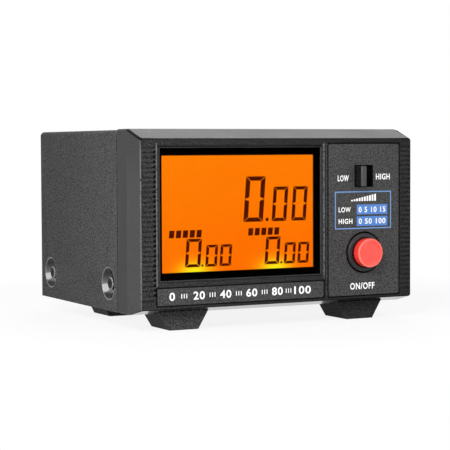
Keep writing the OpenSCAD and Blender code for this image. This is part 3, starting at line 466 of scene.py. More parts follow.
def dish_reaches(finish):
    """How far a point is from the middle of each screw dish, seen from the side."""
    y, z = finish.axis("Y"), finish.axis("Z")
    return [((y - dish_y * MM) ** 2 + (z - dish_z * MM) ** 2) ** 0.5 for dish_y in dish_ys]


def cover_tone(finish):
    """A painted shadow line at the bezel, painted shade growing towards the rear, and smooth glossy dishes
    round the screws with painted highlights on their rims and painted shade in their hollows.
    """
    y = finish.axis("Y")
    up = finish.axis("Z") - dish_z * MM
    reaches = dish_reaches(finish)
    dish = sum(1 - reach.rise(DISH_R - 0.1, DISH_R + 0.1) for reach in reaches)
    # A painted highlight on each dish's rim.
    rim = sum(reach.band(DISH_R - 0.4, DISH_R, 0.15) for reach in reaches)
    # Painted shade that grows towards the rear, and a painted shadow line at the seam.
    rear = y.rise(seam - 20, seam + 90)
    seam_line = y.band(seam - 1, seam + 0.8, 0.15)
    # Painted shade in the upper and the lower part of each dish.
    shade = up.rise(-1, 4) * 0.8 + 0.8 - up.rise(-4.4, -3) * 0.8
    shadow = seam_line * 0.85 + rear * (1 - dish) * 0.3 + dish * (1 - rim * 0.6) * shade
    return (1.3 - rear * 0.27) * (1 + rim * 2.2), 1 - dish * 0.9, dish, shadow


cover_paint = grained("cover_paint", (0.0195, 0.0195, 0.0197), roughness=0.42, grain=0.6,
                      depth=0.1, contrast=6.2, level=0.17, tone=cover_tone)
cover_paint.set("Coat IOR", 2.0)
print("screw dishes at y", [round(dish_y, 1) for dish_y in dish_ys], "z", round(dish_z, 1), "mm")

# %% [markdown]
# ## Plates, feet and knob
# The two plates have a finer grain than the bezel, with painted shadow along their edges
# and painted shade on the walls of the slot and grooves. The feet are matt rubber, painted
# brighter on the left and with painted shade behind their front faces. The knob has
# painted light on its face and a painted highlight on its edge, and its carriage has
# painted shade. All use the same grain, so only their tones differ.

# %% Plate, foot and knob finishes
def plate_tone(finish):
    """Painted shade on the walls of the slot and of the grooves, and painted shadow along the plates' own
    edges.
    """
    deep = finish.axis("Y").rise(front + 0.15, front + 0.4)
    edges = plate_edges(finish.axis("X"), finish.axis("Z"), 0.15)
    return 1.0, 1.0, 0.0, deep * 0.95 + edges * 0.9


def foot_tone(finish):
    """Rubber painted brighter on the left, for light from that side, and with painted shade behind its
    front face.
    """
    # Painted light: brighter on the left than on the right.
    foot_left_light = 1.9 - finish.axis("X").rise(-30, 30)
    return foot_left_light, 1.0, 0.0, finish.axis("Y").rise(front + 6.6, front + 7.2) * 0.3


def knob_tone(finish):
    """A face painted lighter with a painted highlight on its edge, and painted shade on the carriage in the
    slot.
    """
    y = finish.axis("Y")
    knob_front = box_mm("range_knob")[0].y
    # Painted light on the face and a painted highlight on its edge.
    lit_face = 1 - y.rise(knob_front + 0.1, knob_front + 0.25)
    edge = y.band(knob_front + 0.02, knob_front + 0.3, 0.05)
    return 1 + lit_face * 0.8 + edge * 6, 1.0, 0.0, y.rise(front - 1.5, front + 0.3) * 0.95


plate_grey = grained("plate_grey", (0.044, 0.044, 0.0447), roughness=0.52, grain=0.5,
                     depth=0.04, contrast=2.4, level=0.2, tone=plate_tone)
foot_rubber = grained("foot_rubber", (0.024, 0.024, 0.0242), roughness=0.58, grain=0.45,
                      depth=0.07, contrast=3.0, level=0.08, tone=foot_tone)
knob_black = grained("knob_black", (0.008, 0.008, 0.0082), roughness=0.3, grain=0.4,
                     depth=0.006, contrast=0.8, level=0.35, tone=knob_tone)
print("grained finishes:", [f.material.name for f in (plate_grey, foot_rubber, knob_black)])

# %% [markdown]
# ## Plated metal
# The chassis is zinc-plated sheet, the sockets are nickel and their contacts brass.
# Rolling or turning leaves fine lines, so the noise is stretched along the way that the
# tool went. The same lines tilt the surface by a few thousandths of a millimetre.

# %% Metals
TURNED = (4, 1, 4)
ROLLED = (0.06, 1, 2.5)


def shades(colour, dark):
    """A darker and a paler version of a colour, between which a pattern can mix."""
    return [c * dark for c in colour], [min(1, c * 1.1) for c in colour]


def plated(name, colour, roughness, lines):
    """Bare or plated metal with drawn lines, as (x, y, z) stretch of its noise."""
    finish = Finish(name, colour, roughness, Metallic=1.0)
    drawn = finish.noise(0.5, 4, lines)
    cloud = finish.noise(9, 3)
    finish.set("Base Color", finish.mix(drawn * 0.5 + cloud * 0.5, *shades(colour, 0.82)))
    finish.set("Roughness", roughness + (drawn - 0.5) * 0.2 + (cloud - 0.5) * 0.16)
    finish.bump(drawn, 0.006)
    return finish


chassis_steel = plated("chassis_steel", (0.48, 0.48, 0.49), 0.36, ROLLED)
socket_nickel = plated("socket_nickel", (0.56, 0.54, 0.49), 0.24, TURNED)
contact_brass = plated("contact_brass", (0.78, 0.55, 0.2), 0.26, TURNED)
screw_steel = plated("screw_steel", (0.5, 0.5, 0.5), 0.27, TURNED)
print("metals:", [f.material.name for f in (chassis_steel, socket_nickel, contact_brass, screw_steel)])

# %% [markdown]
# ## Blackened screws
# The cover's screws are blackened steel. A broken pale ring near the edge of each head is
# a painted highlight. The ring is a band of the same distance that the dishes use, broken
# up by the noise of the oxide.

# %% Black screws
screw_black = Finish("screw_black", (0.008, 0.008, 0.009), 0.34, Specular_IOR_Level=0.06)
oxide = screw_black.noise(0.5, 4)
# A painted highlight: a broken pale ring near the edge of each head.
head_rim_highlight = sum(reach.band(2.15, 2.45, 0.08) for reach in dish_reaches(screw_black))
screw_black.set("Base Color", screw_black.mix(
    head_rim_highlight * (oxide * 2 - 0.4), (0.005, 0.005, 0.0055), (0.35, 0.35, 0.35)))
screw_black.set("Roughness", 0.26 + oxide * 0.22)
screw_black.bump(oxide, 0.008)
print("black screws:", len(screw_black.tree.nodes), "nodes")

# %% [markdown]
# ## Plastics and the inside
# Inside are boards, chips, film and wire. They are rarely seen, but the cover may be
# taken off in another scene, so each has its own finish. One helper with a faint
# mottle serves them all, and the CAD nodes wear these finishes as they are.

# %% Plastics and inner finishes
def moulded(name, colour, roughness, grain=0.6, depth=0.01, **constants):
    """Plain plastic, resin or rubber with a faint mottle."""
    finish = Finish(name, colour, roughness, **constants)
    mottle = finish.noise(grain, 3)
    cloud = finish.noise(7, 2)
    finish.set("Base Color", finish.mix(mottle * 0.4 + cloud * 0.6, *shades(colour, 0.86)))
    finish.set("Roughness", roughness + (cloud - 0.5) * 0.12)
    finish.bump(mottle, depth)
    return finish


insulator_white = moulded("insulator_white", (0.82, 0.8, 0.74), 0.42, grain=0.4)
guide_white = moulded("guide_white", (0.85, 0.84, 0.8), 0.4)
led_amber = moulded("led_amber", (1.0, 0.68, 0.2), 0.2)
ribbon_film = moulded("ribbon_film", (0.45, 0.26, 0.08), 0.25)
switch_brown = moulded("switch_brown", (0.24, 0.11, 0.05), 0.45)
chip_black = moulded("chip_black", (0.02, 0.02, 0.021), 0.5, grain=0.25)
capacitor_blue = moulded("capacitor_blue", (0.03, 0.04, 0.16), 0.3)
cable_red = moulded("cable_red", (0.5, 0.035, 0.025), 0.4)
board_green = moulded("board_green", (0.02, 0.13, 0.05), 0.3, grain=1.1, depth=0.02)
mask_black = moulded("mask_black", (0.009, 0.009, 0.009), 0.16, grain=0.5, depth=0.001,
                     Specular_IOR_Level=0.2)
print("inner finishes:", len(bpy.data.materials), "materials so far")


# %% Finishes on CAD nodes
def dress(node, finish):
    """Gives a CAD node a finish."""
    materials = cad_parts[node].data.materials
    materials.clear()
    materials.append(finish.material)


inner_nodes = {
    mask_black: ["display_mask"],
    guide_white: ["light_guide", "display_tray", "power_plunger", "cable_headers"],
    board_green: ["led_strip", "main_board", "hf_sensor_board", "vhf_sensor_board"],
    led_amber: ["backlight_leds"],
    ribbon_film: ["display_ribbon"],
    screw_black: ["range_switch_frame"],
    switch_brown: ["range_switch_body"],
    chip_black: ["power_switch_body", "board_chips"],
    contact_brass: ["switch_pins", "hf_sensor_line", "vhf_sensor_line"],
    capacitor_blue: ["board_capacitors"],
    screw_steel: ["board_screws"],
    socket_nickel: ["inlet_pin", "inlet_nut"],
    cable_red: ["inner_cables"],
    chassis_steel: ["power_spring", "hf_sensor_box", "hf_sensor_lid", "vhf_sensor_box", "vhf_sensor_lid"],
}
for finish, nodes in inner_nodes.items():
    for node in nodes:
        dress(node, finish)
print("dressed", sum(len(nodes) for nodes in inner_nodes.values()), "inner nodes")

# %% [markdown]
# ## Edges that catch light
# A CAD edge is perfectly sharp, and no real edge is. A bevel shader could fake the
# round, but the exported mesh would stay sharp. So a welded copy of a node has its flat
# triangles joined, and every sharp edge is bevelled by a fraction of a millimetre. The
# copy takes the node's place in the picture, and the node is kept, hidden.

# %% Welding and rounding
LEAST_ANGLE = 28


def welded(node):
    """A copy of a CAD node's mesh with its triangles joined into large convex faces."""
    bm = bmesh.new()
    bm.from_mesh(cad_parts[node].data)
    bmesh.ops.remove_doubles(bm, verts=bm.verts, dist=1e-6)
    bmesh.ops.dissolve_limit(bm, angle_limit=math.radians(0.5), verts=bm.verts, edges=bm.edges)
    bmesh.ops.connect_verts_concave(bm, faces=bm.faces)
    return bm


def sharp(bm, least=LEAST_ANGLE):
    """The edges where two faces meet at more than this many degrees."""
    bm.normal_update()
    return [e for e in bm.edges
            if len(e.link_faces) == 2 and e.calc_face_angle(0) > math.radians(least)]


def soften(bm, width, edges=None, segments=2):
    """Rounds edges by a width in millimetres."""
    bmesh.ops.bevel(bm, geom=sharp(bm) if edges is None else edges, offset=width * MM,
                    offset_type="OFFSET", affect="EDGES", segments=segments, profile=0.5,
                    clamp_overlap=False, material=-1)


print("edges sharper than", LEAST_ANGLE, "degrees are rounded")

# %% Keeping pieces
NARROW = 0.6 * MM


def made_verts(made):
    """The vertices in what an operator says it made."""
    return [item for item in made if isinstance(item, bmesh.types.BMVert)]


def keep(name, bm, finish, body="case", replaces=(), smooth=21):
    """Makes a mesh into a piece that rides on a body: narrow faces are shaded round."""
    round_faces = [face.calc_area() < NARROW * face.calc_perimeter() for face in bm.faces]
    mesh = bpy.data.meshes.new(name)
    bm.to_mesh(mesh)
    bm.free()
    if "custom_normal" in mesh.attributes:
        mesh.attributes.remove(mesh.attributes["custom_normal"])
    mesh.materials.clear()
    mesh.materials.append(finish.material)
    mesh.set_sharp_from_angle(angle=math.radians(smooth))
    mesh.polygons.foreach_set("use_smooth", round_faces)
    piece = bpy.data.objects.new(name, mesh)
    bpy.context.scene.collection.objects.link(piece)
    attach(piece, body)
    if replaces:
        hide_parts(*replaces)
    print(name, len(mesh.polygons), "faces")
    return piece


print("faces narrower than about", round(2 * NARROW / MM, 1), "mm are shaded round")

# %% [markdown]
# ## Bezel
# The bezel is one moulding, so it stays one mesh. Its long slanting edges are rounded
# most, since the photograph shows them soft. The front corner and the rear rim get a
# thin round that catches a bright line, and the grooves of the ribbed cheeks a smaller
# one. One bevel of one width would be simpler, but it would close the grooves. Where
# a wide round meets a thin one the bevel leaves slivers, which are taken off at the end.

# %% Edges of the bezel
NEAR, NEAR_FRONT = 0.05, 0.3


def skins(co):
    """Whether a point lies on the bezel's sides, and whether it lies on its brow or chin."""
    share = max(0, (slope_end - co.y / MM) / (slope_end - front))
    near = NEAR_FRONT if share > 0.999 else NEAR
    on_side = abs(co.x) / MM > side - TAPER_IN * share - near
    on_brow = co.z / MM > bezel_high.z - BROW_DROP * share - near
    on_chin = co.z / MM < bezel_low.z + CHIN_RISE * share + near
    return on_side, on_brow or on_chin


def outer(edge):
    """True for an edge on the outside of the bezel's form."""
    return all(any(skins(v.co)) and v.co.y < (slope_end + 0.1) * MM for v in edge.verts)


def on_hip(edge):
    """True for the slanting edges where the brow and the chin meet the sides."""
    a, b = (v.co for v in edge.verts)
    return outer(edge) and all(skins(a)) and all(skins(b)) and abs(a.y - b.y) > MM


def at_seam(edge):
    """True for an edge of the bezel's rear rim, beside the cover."""
    rim_x, rim_z = (side - 0.2) * MM, (bezel_high.z - 0.2) * MM
    return all(abs(v.co.y / MM - seam) < NEAR and (abs(v.co.x) > rim_x or v.co.z > rim_z)
               for v in edge.verts)


def shallow(edge):
    """True for an edge in the grooves and recesses of the bezel's face."""
    return not outer(edge) and min(v.co.y for v in edge.verts) < (front + 2.6) * MM


print("bezel edges are told apart within", NEAR, "mm")

# %% Bezel
FUNNEL_IN = 1.2
FUNNEL_SHIFTS = ((pane_low.x + FUNNEL_IN, 0.4), (pane_high.x - FUNNEL_IN, 0.35), (lip_right, 0.25))
GROOVE_ROUND, HIP_ROUND, CORNER_ROUND = 0.1, 0.8, 0.22
SLIVER = 0.004

bm = welded("front_bezel")
for edge_x, shift in FUNNEL_SHIFTS:
    rim = [v for v in bm.verts
           if abs(v.co.x / MM - edge_x) < 0.02 and v.co.y < (front + 1.1) * MM
           and pane_low.z - 0.5 < v.co.z / MM < pane_high.z + 0.5]
    bmesh.ops.translate(bm, vec=(shift * MM, 0, 0), verts=rim)
    print("window funnel edge at x", round(edge_x + shift, 2), "mm:", len(rim), "corners")
soften(bm, GROOVE_ROUND, [e for e in sharp(bm) if shallow(e)])
soften(bm, HIP_ROUND, [e for e in sharp(bm, 12) if on_hip(e)], 4)
soften(bm, CORNER_ROUND, [e for e in sharp(bm, 12) if outer(e) or at_seam(e)])
for v in bm.verts:
    v.co.x = max(bezel_low.x * MM, min(bezel_high.x * MM, v.co.x))
bmesh.ops.dissolve_degenerate(bm, dist=SLIVER * MM, edges=bm.edges)
stray = [e for e in bm.edges if len(e.link_faces) < 2]
bmesh.ops.delete(bm, geom=stray, context="EDGES")
print("bezel slivers taken off, with", len(stray), "stray edges")
keep("bezel_shell", bm, bezel_plastic, replaces=["front_bezel"])

# %% [markdown]
# ## Cover and chassis
# Both are folded sheet. A punch leaves an edge that is only just broken, so the bevel
# is under a tenth of a millimetre and just catches a line of light.

# %% Cover and chassis
COVER_ROUND, CHASSIS_ROUND = 0.07, 0.1

bm = welded("top_cover")
soften(bm, COVER_ROUND)
keep("cover_shell", bm, cover_paint, replaces=["top_cover"])
bm = welded("chassis")
soften(bm, CHASSIS_ROUND)
keep("chassis_shell", bm, chassis_steel, replaces=["chassis"])

# %% [markdown]
# ## Feet
# The feet are tapered blocks of soft rubber, so their edges get a larger radius. The
# front pair is a little wider where it meets the bezel, which is a scale of its upper
# corners about the middle of each foot.

# %% Feet
FOOT_ROUND, ROOT_STRETCH = 0.3, 1.065
ROOT_Z, ROOT_X = 3 * MM, 4 * MM

for foot in ("front_left_foot", "front_right_foot", "rear_left_foot", "rear_right_foot"):
    bm = welded(foot)
    if foot.startswith("front"):
        low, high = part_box(foot)
        foot_x = (low.x + high.x) / 2
        root = [v for v in bm.verts if v.co.z > ROOT_Z and abs(v.co.x - foot_x) > ROOT_X]
        bmesh.ops.scale(bm, vec=(ROOT_STRETCH, 1, 1), verts=root,
                        space=Matrix.Translation((-foot_x, 0, 0)))
        print(foot, "root", len(root), "corners")
    soften(bm, FOOT_ROUND)
    keep(foot + "_block", bm, foot_rubber, replaces=[foot])

# %% [markdown]
# ## Plates, knob and collar
# The two plates are inlays with a hair-line groove round them, the knob has a rounded
# grip, and the collar a turned edge. Their forms are in the frame already, so a thin
# bevel is all that they need.

# %% Plates, knob and collar
INLAY_ROUND, GRIP_ROUND, COLLAR_ROUND = 0.12, 0.12, 0.1

for node in ("name_strip", "control_plate"):
    bm = welded(node)
    soften(bm, INLAY_ROUND)
    keep(node + "_inlay", bm, plate_grey, replaces=[node])
bm = welded("range_knob")
soften(bm, GRIP_ROUND)
keep("range_knob_grip", bm, knob_black, "range_slider", ["range_knob"])
bm = welded("button_collar")
soften(bm, COLLAR_ROUND)
keep("collar_ring", bm, collar_black, replaces=["button_collar"])

# %% [markdown]
# ## Red cap
# The cap of the push button is satin plastic that lets a little light in, so it has a
# weak subsurface glow. Its rim has a painted highlight, its side painted shade, and its
# foot a painted shadow from the gap of the collar. Its face is slightly dished behind a
# rounded rim, which a bevel can't give, so half of its profile is drawn and spun about
# its axis.

# %% Red plastic
cap_low, cap_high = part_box("power_button")
cap_axis = (cap_low + cap_high) / 2
cap_front = cap_low.y / MM
button_red = Finish("button_red", (0.9, 0.06, 0.045), 0.34, Subsurface_Weight=0.08,
                    Subsurface_Radius=(0.002, 0.0006, 0.0004))
rub, tooth = button_red.noise(3.5, 3), button_red.noise(0.3, 2)
cap_x, cap_y, cap_z = (button_red.axis(name) for name in "XYZ")
cap_reach = ((cap_x - cap_axis.x) ** 2 + (cap_z - cap_axis.z) ** 2) ** 0.5
# A painted highlight on the rim, painted shade on the side, and a painted shadow at the foot.
cap_rim_highlight = cap_reach.band(5.15, 5.62, 0.15) * (1 - cap_y.rise(cap_front + 0.25, cap_front + 0.5))
cap_side_shade = cap_y.rise(cap_front + 0.6, cap_front + 2)
cap_foot_shadow = cap_y.rise(cap_front + 3.1, cap_front + 3.6)
cap_colour = button_red.mix(rub * 0.5 + cap_rim_highlight * 0.6 - cap_side_shade * 0.8,
                            (0.86, 0.041, 0.029), (1.0, 0.16, 0.12))
button_red.set("Base Color", button_red.mix(cap_foot_shadow, cap_colour, (0.03, 0.002, 0.002)))
button_red.set("Roughness", 0.28 + rub * 0.2)
button_red.bump(tooth, 0.008)
print("red plastic:", len(button_red.tree.nodes), "nodes")

# %% Red cap
CAP_R = 5.72
CAP_PROFILE = ((0, 0.34), (3.2, 0.32), (4.5, 0.2), (4.95, 0.04), (5.15, 0.0),
               (5.36, 0.02), (5.58, 0.16), (5.69, 0.36), (CAP_R, 0.62))

bm = bmesh.new()
profile = [bm.verts.new((cap_axis.x + r * MM, cap_low.y + depth * MM, cap_axis.z))
           for r, depth in CAP_PROFILE]
profile.append(bm.verts.new((cap_axis.x + CAP_R * MM, cap_high.y, cap_axis.z)))
profile.append(bm.verts.new((cap_axis.x, cap_high.y, cap_axis.z)))
for a, b in zip(profile, profile[1:]):
    bm.edges.new((a, b))
bmesh.ops.spin(bm, geom=bm.verts[:] + bm.edges[:], cent=cap_axis, axis=(0, 1, 0),
               angle=2 * math.pi, steps=64, use_merge=True)
bmesh.ops.remove_doubles(bm, verts=bm.verts, dist=1e-7)
bmesh.ops.recalc_face_normals(bm, faces=bm.faces)
keep("power_cap", bm, button_red, "power_push", ["power_button"], smooth=35)

# %% [markdown]
# ## Return spring
# Steel wire is wound into a coil between the cap and the switch. A screw modifier could
# wind it, but a spin with a step along its axis does the same at once: the wire's
# round section is turned about the coil's axis and moved along. The coil is seated on
# the switch at its full length, and the print gives the length it would have with the
# cap pressed.

# %% Return spring
WIRE_R, CAP_TRAVEL = 0.25 * MM, 3 * MM
SPRING_TURNS, TURN_STEPS, WIRE_SIDES = 4, 24, 10

spring_low, spring_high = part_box("power_spring")
spring_axis = (spring_low + spring_high) / 2
spring_length = spring_high.y - spring_low.y
coil_r = (spring_high.x - spring_low.x) / 2 - WIRE_R
steps = SPRING_TURNS * TURN_STEPS
section_at = Matrix.Translation((spring_axis.x + coil_r, spring_low.y + WIRE_R, spring_axis.z))
bm = bmesh.new()
bmesh.ops.create_circle(bm, cap_ends=True, segments=WIRE_SIDES, radius=WIRE_R, matrix=section_at)
bmesh.ops.spin(bm, geom=bm.verts[:] + bm.edges[:] + bm.faces[:], cent=spring_axis,
               axis=(0, -1, 0), dvec=(0, (spring_length - 2 * WIRE_R) / steps, 0),
               angle=2 * math.pi * SPRING_TURNS, steps=steps)
bmesh.ops.recalc_face_normals(bm, faces=bm.faces)
coil = keep("return_spring_coil", bm, chassis_steel,
            replaces=["power_spring"], smooth=50)
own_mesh(coil)
print("spring", round(spring_length / MM, 2), "mm long, pressed",
      round((spring_length - CAP_TRAVEL) / MM, 2), "mm")

# %% [markdown]
# ## Window and lit glass
# Behind the clear window is a black mask, and behind that the glass, lit from two
# small lamps at its lower edge. The orange field is the light itself. Real lamps behind
# a diffuser would need many samples, so the glass is an emission, brighter and
# yellower where the lamps are. The clear window bends light a little and has
# hardly any reflection.

# %% Window
WINDOW_ROUND = 0.2

clear_window = Finish("clear_window", (1, 1, 1), 0.02, IOR=1.06, Transmission_Weight=1.0)
clear_window.set("Roughness", clear_window.noise(6, 3) * 0.03)
bm = welded("display_window")
soften(bm, WINDOW_ROUND)
keep("window_pane", bm, clear_window, replaces=["display_window"])

# %% Lit glass
LAMP_XS, LAMP_Z = (-36.2, -1.5), 21.8
GLOW_WIDE, GLOW_TALL = 6.3, 3.8
FIELD_LOW, FIELD_TOP = 22.15, 65.9

lcd_orange = Finish("lcd_orange", (0.0, 0.0, 0.0), 0.3, Emission_Strength=1.0,
                    Specular_IOR_Level=0.0)
glass_x, glass_z = lcd_orange.axis("X"), lcd_orange.axis("Z")
glow = 0.0
for lamp_x in LAMP_XS:
    aside = (glass_x - lamp_x * MM) / (GLOW_WIDE * MM)
    above = (glass_z - LAMP_Z * MM) / (GLOW_TALL * MM)
    glow = (0 - (aside ** 2 + above ** 2)).math("EXPONENT") + glow
cloud = lcd_orange.noise(30, 2)
warmth = glow + glass_z.rise(15, 80) * 0.075 + (cloud - 0.5) * 0.06
lit = lcd_orange.mix(warmth, (1.0, 0.16, 0.0), (1.0, 0.86, 0.01))
field = glass_z.band(FIELD_LOW, FIELD_TOP, 0.12)
lcd_orange.set("Emission Color", lcd_orange.mix(field, (0.002, 0.002, 0.002), lit))
dress("lcd_glass", lcd_orange)
glass_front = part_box("lcd_glass")[0].y
print("lit field in front of y", round(glass_front / MM, 2), "mm")

# %% [markdown]
# ## Seven-segment digits
# The readings are printed segments on the glass. A digit is a rectangle of two cells. An
# inset cuts each cell into four strips with mitred corners, which are the segments.
# Without the middle strips it is a nought, and a second, tiny inset leaves the gaps. A
# shear gives the slant. A font would be quicker, but its strokes have no gaps.

# %% Leaning nought
SLANT, WIDENING = 0.075, 1.18
WAIST_SHARE, TIP_SHARE = 0.36, 0.5


def leaning(wide, slant, tall, x, z):
    """A matrix that stretches a flat drawing, leans it to the right and moves it."""
    return Matrix(((wide, slant, 0, x), (0, tall, 0, z), (0, 0, 1, 0), (0, 0, 0, 1)))


def nought(bm, x, z, width, height, stroke, gap):
    """Adds a slanted nought, placed by its lower left corner, in millimetres.

    It is drawn too narrow and then widened, which makes its upright strokes the wider ones."""
    cell = bmesh.ops.create_grid(bm, x_segments=1, y_segments=2, size=0.5)["verts"]
    bmesh.ops.scale(bm, vec=(width / WIDENING, height, 1), verts=cell)
    bmesh.ops.translate(bm, vec=(width / WIDENING / 2, 0, 0), verts=cell)
    halves = list({f for v in cell for f in v.link_faces})
    strips = bmesh.ops.inset_individual(
        bm, faces=halves, thickness=stroke, use_even_offset=True)["faces"]
    middle = [f for f in strips if abs(f.calc_center_median().y) < stroke]
    bmesh.ops.delete(bm, geom=halves + middle, context="FACES")
    strips = [f for f in strips if f.is_valid]
    waist = {v for f in strips for v in f.verts if 0.5 * stroke < abs(v.co.y) < 1.5 * stroke}
    bmesh.ops.scale(bm, vec=(1, WAIST_SHARE, 1), verts=list(waist))
    rims = bmesh.ops.inset_individual(
        bm, faces=strips, thickness=gap, use_even_offset=True)["faces"]
    bmesh.ops.delete(bm, geom=rims, context="FACES")
    segments = list({v for f in strips for v in f.verts})
    tips = [v for v in segments if abs(v.co.y) < 2.5 * gap]
    bmesh.ops.scale(bm, vec=(1, TIP_SHARE, 1), verts=tips)
    lean = leaning(WIDENING, SLANT, 1, x + SLANT * height / 2, z + height / 2)
    bmesh.ops.transform(bm, matrix=lean, verts=segments)


print("digits lean by", SLANT)

# %% Flat ink
INK = 0.02


def flat_print(bm, y):
    """Turns a drawing in millimetres up into the X-Z plane, with the thickness of ink."""
    bmesh.ops.recalc_face_normals(bm, faces=bm.faces)
    bmesh.ops.reverse_faces(bm, faces=[f for f in bm.faces if f.normal.z < 0])
    body = bmesh.ops.extrude_face_region(bm, geom=bm.faces[:], use_keep_orig=True)["geom"]
    bmesh.ops.translate(bm, vec=(0, 0, INK), verts=made_verts(body))
    bmesh.ops.recalc_face_normals(bm, faces=bm.faces)
    upright = Matrix.Scale(MM, 4) @ Matrix.Rotation(math.pi / 2, 4, "X")
    bmesh.ops.transform(bm, verts=bm.verts, matrix=Matrix.Translation((0, y, 0)) @ upright)
    return bm


print("ink is", INK, "mm thick")

# %% [markdown]
# ## The three readings
# Each reading has one large digit, a point and two small digits. Above the lower two is
# a row of five leaning blocks, like the bars that such displays show. Places are in
# millimetres on the face of the glass.

# %% Digits
BIG_GAP, SMALL_GAP, POINT_RISE = 0.1, 0.08, 0.15
# The left and base of a reading, the width, height and stroke of its large and of its
# small digits, the lefts of the small ones, and the middle and radius of the point.
READINGS = (
    ((-15.4, 40.3), (8.75, 17.6, 1.84), (6.7, 13.5, 1.42), (-3.0, 5.75), (-4.9, 0.7)),
    ((-40.4, 23.8), (6.7, 10.9, 1.33), (5.1, 8.4, 1.17), (-31.8, -25.75), (-32.95, 0.45)),
    ((-6.2, 23.7), (6.6, 10.85, 1.33), (5.1, 8.35, 1.17), (2.35, 8.45), (1.35, 0.45)),
)
BLOCK_ROWS, BLOCKS, BLOCK_STEP = ((-45.7, 36.5), (-12.1, 36.55)), 5, 2.87
BLOCK_WIDE, BLOCK_TALL, BLOCK_LEAN = 2.1, 2.85, 4 * SLANT

# The ink has a faint dark red glow, painted in for the backlight that comes through it.
digit_ink = Finish("digit_ink", (0.004, 0.001, 0.0), 0.5, Emission_Strength=1.0,
                   Specular_IOR_Level=0.0)
digit_ink.set("Emission Color", digit_ink.mix(
    digit_ink.noise(5, 2), (0.045, 0.002, 0.0), (0.09, 0.006, 0.0)))
bm = bmesh.new()
for (left, base), big, small, small_lefts, (point_x, point_r) in READINGS:
    nought(bm, left, base, *big, BIG_GAP)
    for small_left in small_lefts:
        nought(bm, small_left, base, *small, SMALL_GAP)
    point_at = Matrix.Translation((point_x, base + point_r + POINT_RISE, 0))
    bmesh.ops.create_circle(bm, cap_ends=True, segments=20, radius=point_r, matrix=point_at)
for row_x, row_z in BLOCK_ROWS:
    for i in range(BLOCKS):
        block = bmesh.ops.create_grid(bm, x_segments=1, y_segments=1, size=0.5)["verts"]
        lean = leaning(BLOCK_WIDE, BLOCK_LEAN, BLOCK_TALL, row_x + i * BLOCK_STEP, row_z)
        bmesh.ops.transform(bm, matrix=lean, verts=block)
keep("display_digits", flat_print(bm, glass_front), digit_ink)

# %% [markdown]
# ## Panel printing
# The lettering on the plates is screen printed. It could be a picture on the plate, but
# that would need a large one to stay crisp. It is text turned into a mesh, scaled to
# the box it fills, and given the thickness of ink. The words are plain: a scale of
# numbers, low and high, on and off.

# %% Printing helpers
LETTER_SPACE, LETTER_CURVE = 1.13, 4
BOLD, REGULAR = 0.022, 0.015

print_white = moulded("print_white", (0.95, 0.95, 0.95), 0.5, grain=0.3, depth=0.004)
print_blue = moulded("print_blue", (0.06, 0.19, 0.53), 0.5, grain=0.3, depth=0.004)
frame_blue = moulded("frame_blue", (0.13, 0.27, 0.56), 0.5, grain=0.3, depth=0.004)


def lettering(bm, text, x0, z0, x1, z1, weight=BOLD):
    """Adds text that fills a box, in millimetres on the X-Y plane."""
    curve = bpy.data.curves.new("lettering", "FONT")
    curve.body = text
    curve.offset = weight
    curve.space_character = LETTER_SPACE
    curve.resolution_u = LETTER_CURVE
    holder = bpy.data.objects.new("lettering", curve)
    bpy.context.scene.collection.objects.link(holder)
    shaped = holder.evaluated_get(bpy.context.evaluated_depsgraph_get())
    mesh = bpy.data.meshes.new_from_object(shaped)
    before = set(bm.verts)
    bm.from_mesh(mesh)
    letters = [v for v in bm.verts if v not in before]
    low = Vector((min(v.co.x for v in letters), min(v.co.y for v in letters), 0))
    high = Vector((max(v.co.x for v in letters), max(v.co.y for v in letters), 0))
    stretch = ((x1 - x0) / (high.x - low.x), (z1 - z0) / (high.y - low.y), 1)
    bmesh.ops.translate(bm, vec=-low, verts=letters)
    bmesh.ops.scale(bm, vec=stretch, verts=letters)
    bmesh.ops.translate(bm, vec=(x0, z0, 0), verts=letters)
    bpy.data.objects.remove(holder)
    bpy.data.curves.remove(curve)
    bpy.data.meshes.remove(mesh)


def patch(bm, x0, z0, x1, z1):
    """Adds a filled rectangle and gives its vertices."""
    corners = bmesh.ops.create_grid(bm, x_segments=1, y_segments=1, size=0.5)["verts"]
    bmesh.ops.scale(bm, vec=(x1 - x0, z1 - z0, 1), verts=corners)
    bmesh.ops.translate(bm, vec=((x0 + x1) / 2, (z0 + z1) / 2, 0), verts=corners)
    return corners


print("inks:", [f.material.name for f in (print_white, print_blue, frame_blue)])

# %% White printing
SCALE_LEFT, SCALE_STEP, SCALE_LOW, SCALE_TOP = -47, 11.24, 11.9, 15.0
HALF_WIDTHS = {1: 1.15, 2: 2.4, 3: 3.75}
TICK_STEP, TICK_HALF, TICK_LOW, TICK_TOP = 1.05, 0.17, 12.6, 14.3
BARS_LEFT, BARS_LOW, BAR_STEP, BAR_WIDE, BAR_LEAST, BAR_GROWTH = 31.5, 47.5, 1.2, 0.8, 0.5, 0.25
# Each word with the left, lower, right and upper edge of its box.
PANEL_WORDS = (
    ("LOW", 25.3, 55.4, 30.4, 57.8),
    ("HIGH", 43.1, 55.9, 49.7, 58.3),
    ("ON/OFF", 31.0, 12.45, 42.4, 15.1),
    ("LOW", 25.7, 43.2, 31.3, 45.2),
    ("HIGH", 25.7, 38.6, 32.1, 40.6),
)

